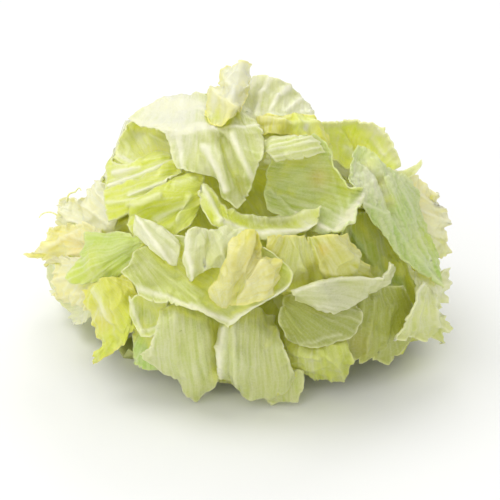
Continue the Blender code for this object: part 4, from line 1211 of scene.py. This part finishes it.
def crest_looks():
    """The leaves of the heap's upper half."""
    return [
        Look("crest_shell", "pale", root=(266, 10), blister=(0.5, 6), white=(0.65, 50), lime=0.1,
             folds=((256, 80, 246, 96, 2.2, 1.1, 1), (246, 96, 242, 114, 1.8, 1, 0.9),
                    (270, 80, 261, 96, 2.2, 1.2, 1), (261, 96, 255, 114, 1.8, 1.1, 0.9),
                    (288, 88, 277, 98, 2.2, 1.2, 1), (277, 98, 270, 112, 1.8, 1.1, 1),
                    (300, 100, 286, 112, 2, 1.2, 1), (242, 118, 300, 118, -1.6, 1, 0.2)),
             marks=((250, 128, 14, "lime", 0.9), (285, 128, 14, "lush", 0.7), (251, 104, 4, "lime", 0.5),
                    (265, 104, 4, "lime", 0.5), (280, 108, 4, "lime", 0.5))),
        Look("yellow_rim", "yellow", root=(280, 60), frill=(0.8, 0.8, 0.6, 0.5), wave=11, crease=(1.2, 9),
             white=(0.1, 30), lush=0.6, lime=0.3,
             folds=((262, 122, 318, 126, -1.8, 1.6, 0.3), (270, 136, 316, 140, -1.8, 1.4, 0.2)),
             marks=((302, 124, 10, "lime", 1), (306, 128, 3, "white", 0.8), (262, 140, 14, "lime", 0.7))),
        Look("right_ruffle", "cream", root=(395, 210), frill=(1, 2.4, 1.6, 0.5), wave=7.5, white=(0.7, 60),
             folds=((412, 190, 436, 206, -2.2, 1.6, 0.8), (412, 208, 446, 222, -2.4, 1.8, 0.9),
                    (414, 228, 446, 240, -2.4, 1.8, 0.5)),
             marks=((438, 248, 16, "lime", 1), (420, 180, 10, "lush", 0.5))),
        Look("left_band_high", "pale", root=(210, 150), pleat=(1, 5), white=(0.1, 60), lime=0.75,
             folds=((112, 188, 168, 163, -1.8, 1.8, 1), (116, 174, 140, 168, -1.6, 1.2, 0.8),
                    (122, 192, 172, 172, -1.5, 1.2, 0.3)),
             marks=((122, 178, 12, "white", 0.4),)),
        Look("left_band_low", "pale", root=(220, 165), pleat=(1, 5), white=(0.1, 60), lime=0.9,
             folds=((132, 195, 188, 176, -1.8, 1.8, 0.9), (112, 204, 140, 200, -1.6, 1.2, 0.6),
                    (130, 206, 176, 190, -1.5, 1.4, 0.3))),
        Look("left_lime_fold", "lime", root=(215, 190), pleat=(1, 6), white=(0, 40),
             folds=((156, 220, 182, 206, -1.8, 1.4, 0.6), (176, 184, 196, 178, 1.6, 1, 0.4),
                    (188, 196, 178, 222, -2, 1.6, 0.4), (136, 206, 160, 196, -1.8, 1.4, 0.5)),
             # Its lime and olive marks paint light and shade in the hollow beside the left bands
             marks=((158, 200, 26, "lime", 0.9), (170, 205, 20, "olive", 0.15))),
        Look("horn", "pale", root=(370, 165), white=(0.4, 60), lime=0.3),
        Look("green_drape", "green", root=(350, 90), pleat=(1, 7), blister=(0.9, 2.1), white=(0.3, 60),
             folds=((362, 158, 380, 180, 2, -2.2, 0), (380, 180, 391, 212, 2, -2.2, 0),
                    (352, 196, 382, 214, -1.6, 1, 0.4), (382, 214, 440, 288, -2.2, 1.6, 0.4),
                    (404, 190, 428, 262, 1.2, 0.7, 0.4), (394, 200, 416, 250, 1, 0.7, 0.3)),
             # The lime and olive marks along its groove paint light and shade in the fold, and its white
             # mark about (370, 186) is whiter skin and painted glints of its wet blisters
             marks=((369, 165, 6, "lime", 0.9), (380, 182, 6, "lime", 0.9), (388, 201, 6, "lime", 0.9),
                    (374, 171, 4, "olive", 0.5), (380, 181, 4, "olive", 0.6), (385, 192, 4, "olive", 0.6),
                    (389, 204, 4, "olive", 0.6), (370, 186, 22, "white", 0.4), (375, 150, 8, "lime", 0.8),
                    (425, 240, 16, "lime", 0.35))),
        Look("bowl_right", "green", root=(150, 150), frill=(0.4, 1.4, 0.6, 0.4), blister=(0.3, 4),
             white=(0.15, 60), lime=0.25, olive=0.32,
             folds=((268, 190, 296, 216, -1.4, 1, 0.4), (296, 216, 336, 236, -2, 1.4, 1),
                    (336, 236, 358, 214, 2.6, 1.2, 1), (352, 214, 364, 194, 2.6, 1.2, 1),
                    (280, 196, 330, 212, -1.6, 1, 0.3), (332, 158, 352, 188, -2.4, 1.8, 0.3)),
             marks=((318, 178, 10, "warm", 0.6), (342, 168, 10, "lime", 0.8), (352, 186, 8, "lime", 0.8),
                    (346, 222, 12, "white", 0.8), (310, 228, 12, "white", 0.5))),
        Look("ribbed_band", "pale", root=(200, 165), white=(0.3, 80), lime=0.2,
             folds=((266, 152, 316, 142, 0.7, 0.6, 0.8), (268, 158, 318, 148, 0.7, 0.6, 0.8),
                    (270, 148, 312, 138, 0.7, 0.6, 0.8), (270, 142, 304, 136, 0.7, 0.6, 0.7))),
        Look("crescent", "pale", root=(200, 120), curl=(0.5, 0.5, 0.5, 0.5), white=(0.05, 80), lime=0.75,
             folds=((203, 190, 220, 222, 1.6, 1.4, 0.8), (220, 222, 256, 236, 2, 1.4, 0.9),
                    (256, 236, 322, 230, 2.2, 1.4, 0.9), (212, 190, 232, 214, -1.4, 1.4, 0.5),
                    (232, 214, 266, 224, -1.4, 1.4, 0.4), (266, 224, 320, 212, -1.6, 1.4, 0.4)),
             # Its lime and olive marks paint light and shade in the hollow under the bowl
             marks=((308, 226, 10, "white", 0.6), (230, 214, 14, "lime", 0.6), (266, 219, 14, "lime", 0.9),
                    (290, 216, 12, "lime", 0.7), (280, 216, 16, "olive", 0.8),
                    (256, 220, 14, "olive", 0.7))),
        Look("pale_drape", "pale", root=(200, 30), pleat=(1.1, 8), blister=(0.3, 5), crease=(1, 18),
             white=(0.25, 90), olive=0.1,
             folds=((207, 148, 226, 190, 2.4, 1.2, 1), (221, 138, 245, 197, -1.8, -1.8, 0),
                    (232, 136, 253, 180, 2.2, 0.8, 0.8), (132, 124, 170, 130, 2.8, 0.9, 1),
                    (170, 130, 215, 128, 2.8, 0.9, 1), (215, 128, 262, 126, 1.4, 0.7, 0.8),
                    (150, 104, 205, 108, 3.5, 0.6, 1), (178, 136, 184, 170, 1.8, 0.8, 0.8)),
             marks=((200, 155, 8, "lime", 0.35), (246, 158, 8, "lime", 0.35), (238, 185, 7, "lime", 0.15),
                    (168, 110, 34, "white", 0.9))),
        Look("crest_tip", "yellow", root=(240, 40), frill=(0.8, 0.5, 0.4, 0.6), wave=8, crease=(1, 9),
             white=(0.72, 30),
             folds=((241, 62, 244, 88, 1.4, 1.4, 1), (228, 84, 246, 100, -2, 1.6, 0.6),
                    (212, 92, 236, 112, -2, 1.6, 0.4)),
             marks=((236, 66, 12, "white", 0.9), (214, 116, 8, "lime", 1), (222, 100, 10, "lush", 0.6))),
    ]


def middle_looks():
    """The leaves between the crest and the foot."""
    return [
        Look("green_fan", "green", root=(160, 236), pleat=(0.9, 4), vein=(0.3, 2.4), white=(0.1, 30),
             lush=0.2, lime=0.45),
        Look("crinkled_yellow", "yellow", root=(300, 190), tear=(1, 1, 2.5, 1), trim=(0, 0, 6, 0),
             crease=(1.1, 10), white=(0.2, 40), lush=0.2, lime=0.25, olive=0.32,
             folds=((314, 250, 327, 278, -2, 1.8, 0.2), (330, 236, 352, 262, -2.2, 1.8, 0.3),
                    (292, 238, 302, 270, -2, 1.4, 0.3), (352, 236, 368, 262, 1.6, 1, 0.3)),
             marks=((320, 262, 8, "lush", 1), (324, 248, 6, "warm", 0.7), (290, 262, 18, "lime", 0.5),
                    (310, 232, 14, "lime", 0.4))),
    ]


def low_looks():
    """The leaves at the heap's foot, and the wedge and the boat over them."""
    return [
        Look("left_hanging", "yellow", root=(95, 270), frill=(0.8, 1, 0.5, 1.2), wave=8, crease=(1.1, 9),
             white=(0, 30), lush=0.9, lime=0.4, olive=0.06,
             folds=((96, 290, 112, 322, -2.2, 1.8, 0.5), (110, 300, 122, 330, -2, 1.6, 0.2),
                    (104, 335, 118, 350, -1.6, 1.2, 0.1)),
             marks=((104, 354, 24, "lime", 1), (126, 330, 16, "lime", 0.9), (100, 312, 7, "white", 0.4),
                    (108, 318, 14, "warm", 0.25))),
        # The low right leaf's lush and olive paint the shade at the heap's lower right
        Look("low_right", "lime", root=(370, 200), tear=(2, 1, 1, 1), pleat=(1.2, 6), vein=(0.2, 3),
             white=(0, 60), lush=0.8, olive=0.75,
             folds=((350, 310, 346, 350, -2, 1.4, 0.3), (372, 300, 366, 352, -2.2, 1.6, 0.3),
                    (392, 306, 384, 345, -2, 1.4, 0.2)),
             marks=((372, 354, 12, "lime", 0.7), (396, 344, 10, "lime", 0.6),
                    (370, 328, 40, "white", -0.25), (356, 344, 16, "warm", 0.4),
                    (390, 308, 12, "lush", 0.5))),
        Look("low_ruffle", "lime", root=(310, 290), frill=(1, 0.6, 0.4, 0.6), wave=10, tear=(2, 1, 1, 1),
             crease=(1.2, 9), white=(0.1, 30), lush=0.3, lime=0.4, olive=0.3,
             folds=((290, 350, 318, 356, -2, 1.6, 0.1), (318, 348, 340, 366, -2, 1.6, 0.1)),
             marks=((312, 362, 9, "white", 0.3),)),
        Look("right_star", "pale", root=(420, 250), frill=(1.4, 1.6, 0.6, 0.6), wave=8, tear=(2, 2, 1, 1),
             white=(0.4, 40), lime=0.2,
             folds=((419, 283, 391, 338, 3, 1.6, 1), (432, 296, 436, 326, -2.2, 1.8, 0.6),
                    (420, 300, 414, 330, -2, 1.4, 0.3), (434, 322, 450, 332, 1.6, 1.2, 0.6)),
             marks=((424, 310, 8, "lime", 0.6),)),
        Look("small_cup", "pale", root=(140, 270), white=(0.2, 40), lush=0.3, lime=0.3,
             folds=((130, 300, 142, 332, 1.6, 1, 0.8), (142, 332, 164, 326, 1.4, 1, 0.7))),
        # The wedge's lush and olive paint the shade under the boat
        Look("wedge", "pale", root=(270, 290), vein=(0.15, 3), white=(0.05, 60), lush=0.6, lime=0.15,
             olive=0.7,
             folds=((286, 312, 300, 330, -2, 1.4, 0.2), (300, 344, 340, 334, 1.4, 0.8, 0.4)),
             marks=((300, 322, 30, "white", -0.2), (296, 308, 12, "lime", 0.4))),
        Look("front_chip", "pale", root=(290, 330), white=(0.2, 60), lush=0.2),
        Look("front_left_slab", "pale", root=(150, 100), pleat=(0.7, 5), vein=(0.2, 2.6), white=(0.24, 80),
             lush=0.15, olive=0.14,
             folds=((158, 318, 150, 356, 2, 0.8, 0.6), (196, 320, 206, 372, 2, 0.8, 0.3))),
        Look("front_centre_slab", "pale", root=(245, 60), pleat=(0.7, 5), vein=(0.2, 2.6), white=(0.24, 80),
             lush=0.1, olive=0.22,
             folds=((222, 330, 219, 385, 2.6, 1.2, 1), (232, 322, 236, 386, -2.2, 1.4, 0.5),
                    (226, 330, 229, 388, 0.9, -1.2, 0))),
        Look("white_boat", "pale", root=(200, 285), tear=(0.4, 0.4, 0.4, 0.4), pleat=(0.4, 6),
             vein=(0.08, 3), blister=(0.1, 5), crease=(0.4, 20), white=(0.45, 120), olive=0.25,
             folds=((296, 290, 340, 278, 1.6, 0.8, 0.9), (340, 278, 380, 278, 1.6, 0.8, 0.9),
                    (380, 278, 391, 264, 1.4, 0.8, 0.9)),
             # Its lush and olive marks paint shade on the boat's underside
             marks=((335, 304, 18, "lush", 0.4), (332, 304, 16, "olive", 0.5),
                    (362, 296, 10, "olive", 0.3))),
    ]


def bowl_looks():
    """The bowl at the front and the leaves in it."""
    return [
        Look("front_bowl", "pale", root=(90, 200), pleat=(1.1, 8), white=(0.12, 60), lush=0.15, lime=0.2,
             olive=0.18,
             folds=((138, 288, 190, 306, 2, 0.8, 0.8), (190, 306, 232, 322, 2, 0.8, 1),
                    (232, 322, 292, 286, 2.4, 0.8, 1), (150, 262, 196, 300, -2.4, 1.4, 0.2)),
             marks=((170, 262, 14, "lime", 0.4), (215, 296, 16, "lime", 0.4))),
        Look("white_fold", "pale", root=(190, 180), frill=(0.6, 0.6, 1, 0.6), wave=9, crease=(0.9, 10),
             white=(0.5, 70), olive=0.06,
             folds=((187, 234, 193, 282, 2.2, 1.6, 1), (200, 236, 205, 270, -2, 1.4, 0.3),
                    (218, 236, 226, 262, -2, 1.4, 0.4)),
             marks=((212, 258, 9, "lime", 0.5),)),
        Look("yellow_heart", "yellow", root=(225, 310), frill=(0.5, 0.9, 1.2, 0.5), wave=8, crease=(1.2, 9),
             white=(0.35, 40), olive=0.08,
             folds=((262, 262, 240, 302, -2.2, 2, 0.5), (276, 262, 260, 300, -2, 1.8, 0.3),
                    (236, 238, 230, 276, -2, 1.6, 0.4), (250, 240, 244, 268, -1.8, 1.4, 0.3)),
             marks=((278, 262, 7, "lush", 0.8), (240, 240, 8, "lush", 0.7), (222, 270, 7, "lush", 0.6),
                    (252, 268, 22, "warm", 0.15))),
        Look("folded_flap", "pale", root=(125, 205), white=(0.6, 70),
             folds=((138, 220, 170, 262, -2.2, 1.6, 1), (150, 222, 176, 244, 1.4, 1, 0.8))),
    ]


class LETTUCE_OT_floor_leaf(bpy.types.Operator):
    """Makes the flat leaf that the heap stands on"""

    bl_idname = "lettuce.floor_leaf"
    bl_label = "Floor Leaf"

    def execute(self, context):
        mesh = frame["nodes"]["floor_leaf"].data.copy()
        piece = bpy.data.objects.new("floor_sheet", mesh)
        context.scene.collection.objects.link(piece)
        piece["lettuce_leaf"] = True
        select_only(piece)
        bpy.ops.object.mode_set(mode="EDIT")
        bpy.ops.mesh.select_all(action="SELECT")
        bpy.ops.mesh.remove_doubles(threshold=MERGE_DISTANCE)
        bpy.ops.mesh.subdivide(number_cuts=FLOOR_LEAF_CUTS)
        bpy.ops.object.mode_set(mode="OBJECT")
        bpy.ops.object.shade_smooth_by_angle(angle=FLOOR_LEAF_ANGLE)
        hand_over(piece, "floor_leaf", "pale")
        return {"FINISHED"}


class LETTUCE_OT_heart(bpy.types.Operator):
    """Lays the leaves inside the heap"""

    bl_idname = "lettuce.heart"
    bl_label = "Heart Leaves"

    def execute(self, context):
        lay(heart_looks())
        return {"FINISHED"}


class LETTUCE_OT_around(bpy.types.Operator):
    """Lays the leaves of the sides, the back and the top"""

    bl_idname = "lettuce.around"
    bl_label = "Outer Leaves"

    def execute(self, context):
        lay(around_looks())
        return {"FINISHED"}


class LETTUCE_OT_deep(bpy.types.Operator):
    """Lays the leaves in the hollows and at the left and right edges"""

    bl_idname = "lettuce.deep"
    bl_label = "Deep Leaves"

    def execute(self, context):
        lay(deep_looks())
        return {"FINISHED"}


class LETTUCE_OT_crest(bpy.types.Operator):
    """Lays the leaves of the heap's upper half"""

    bl_idname = "lettuce.crest"
    bl_label = "Crest Leaves"

    def execute(self, context):
        lay(crest_looks())
        return {"FINISHED"}


class LETTUCE_OT_middle(bpy.types.Operator):
    """Lays the green fan and the crinkled yellow leaf"""

    bl_idname = "lettuce.middle"
    bl_label = "Middle Leaves"

    def execute(self, context):
        lay(middle_looks())
        return {"FINISHED"}


class LETTUCE_OT_low(bpy.types.Operator):
    """Lays the leaves at the heap's foot, and the wedge and the boat over them"""

    bl_idname = "lettuce.low"
    bl_label = "Low Leaves"

    def execute(self, context):
        lay(low_looks())
        return {"FINISHED"}


class LETTUCE_OT_bowl(bpy.types.Operator):
    """Lays the bowl at the front and the leaves in it"""

    bl_idname = "lettuce.bowl"
    bl_label = "Bowl Leaves"

    def execute(self, context):
        lay(bowl_looks())
        return {"FINISHED"}


class LETTUCE_OT_hollows(bpy.types.Operator):
    """Paints light through leaves as a bright lime where other leaves close a leaf in, and paints shade
    there by dimming its white
    """

    bl_idname = "lettuce.hollows"
    bl_label = "Deepen Hollows"

    def execute(self, context):
        leaves = [piece.data for piece in context.scene.objects
                  if piece.get("lettuce_leaf") and "lush" in piece.data.attributes]
        if not leaves:
            raise RuntimeError("lay the leaves first")
        tree, ways = tree_of(leaves), hollow_ways()
        for mesh in leaves:
            shares = closed_share(tree, read_vertices(mesh, "co"), read_vertices(mesh, "normal"), ways)
            closed = np.clip(evened_over(mesh, shares) - HOLLOW_START, 0, 1)
            # Painted light where other leaves close the leaf in
            change_mask(mesh, "hollow", lambda hollow: HOLLOW_DEPTH * closed)
            # Painted shade: the white is dimmed where other leaves close the leaf in
            change_mask(mesh, "white", lambda white: white * (1 - HOLLOW_FADE * closed))
        return {"FINISHED"}


OPERATORS = (LETTUCE_OT_stage, LETTUCE_OT_finishes, LETTUCE_OT_floor_leaf, LETTUCE_OT_heart,
             LETTUCE_OT_around, LETTUCE_OT_deep, LETTUCE_OT_crest, LETTUCE_OT_middle, LETTUCE_OT_low,
             LETTUCE_OT_bowl, LETTUCE_OT_hollows)
SETTINGS = {"lettuce_sizes": LettuceSizes, "lettuce_light": LettuceLight, "lettuce_colours": LettuceColours}


class LETTUCE_PT_panel(bpy.types.Panel):
    """Sizes, lights and colours of the heap, and the steps that make it"""

    bl_label = "Torn Lettuce Heap"
    bl_space_type = "VIEW_3D"
    bl_region_type = "UI"
    bl_category = "Lettuce"

    def draw(self, context):
        for settings in (getattr(context.scene, name) for name in SETTINGS):
            box = self.layout.box()
            for name in settings.bl_rna.properties.keys():
                if name not in ("rna_type", "name"):
                    box.prop(settings, name)
        for operator in OPERATORS:
            self.layout.operator(operator.bl_idname)


CLASSES = (*SETTINGS.values(), *OPERATORS, LETTUCE_PT_panel)


def register():
    for cls in CLASSES:
        bpy.utils.register_class(cls)
    for name, group in SETTINGS.items():
        setattr(bpy.types.Scene, name, PointerProperty(type=group))


def unregister():
    for name in SETTINGS:
        delattr(bpy.types.Scene, name)
    for cls in reversed(CLASSES):
        bpy.utils.unregister_class(cls)


def main():
    register()
    bpy.ops.lettuce.stage()
    bpy.ops.lettuce.finishes()
    bpy.ops.lettuce.floor_leaf()
    bpy.ops.lettuce.heart()
    bpy.ops.lettuce.around()
    bpy.ops.lettuce.deep()
    bpy.ops.lettuce.crest()
    bpy.ops.lettuce.middle()
    bpy.ops.lettuce.low()
    bpy.ops.lettuce.bowl()
    bpy.ops.lettuce.hollows()


if __name__ == "__main__":
    main()
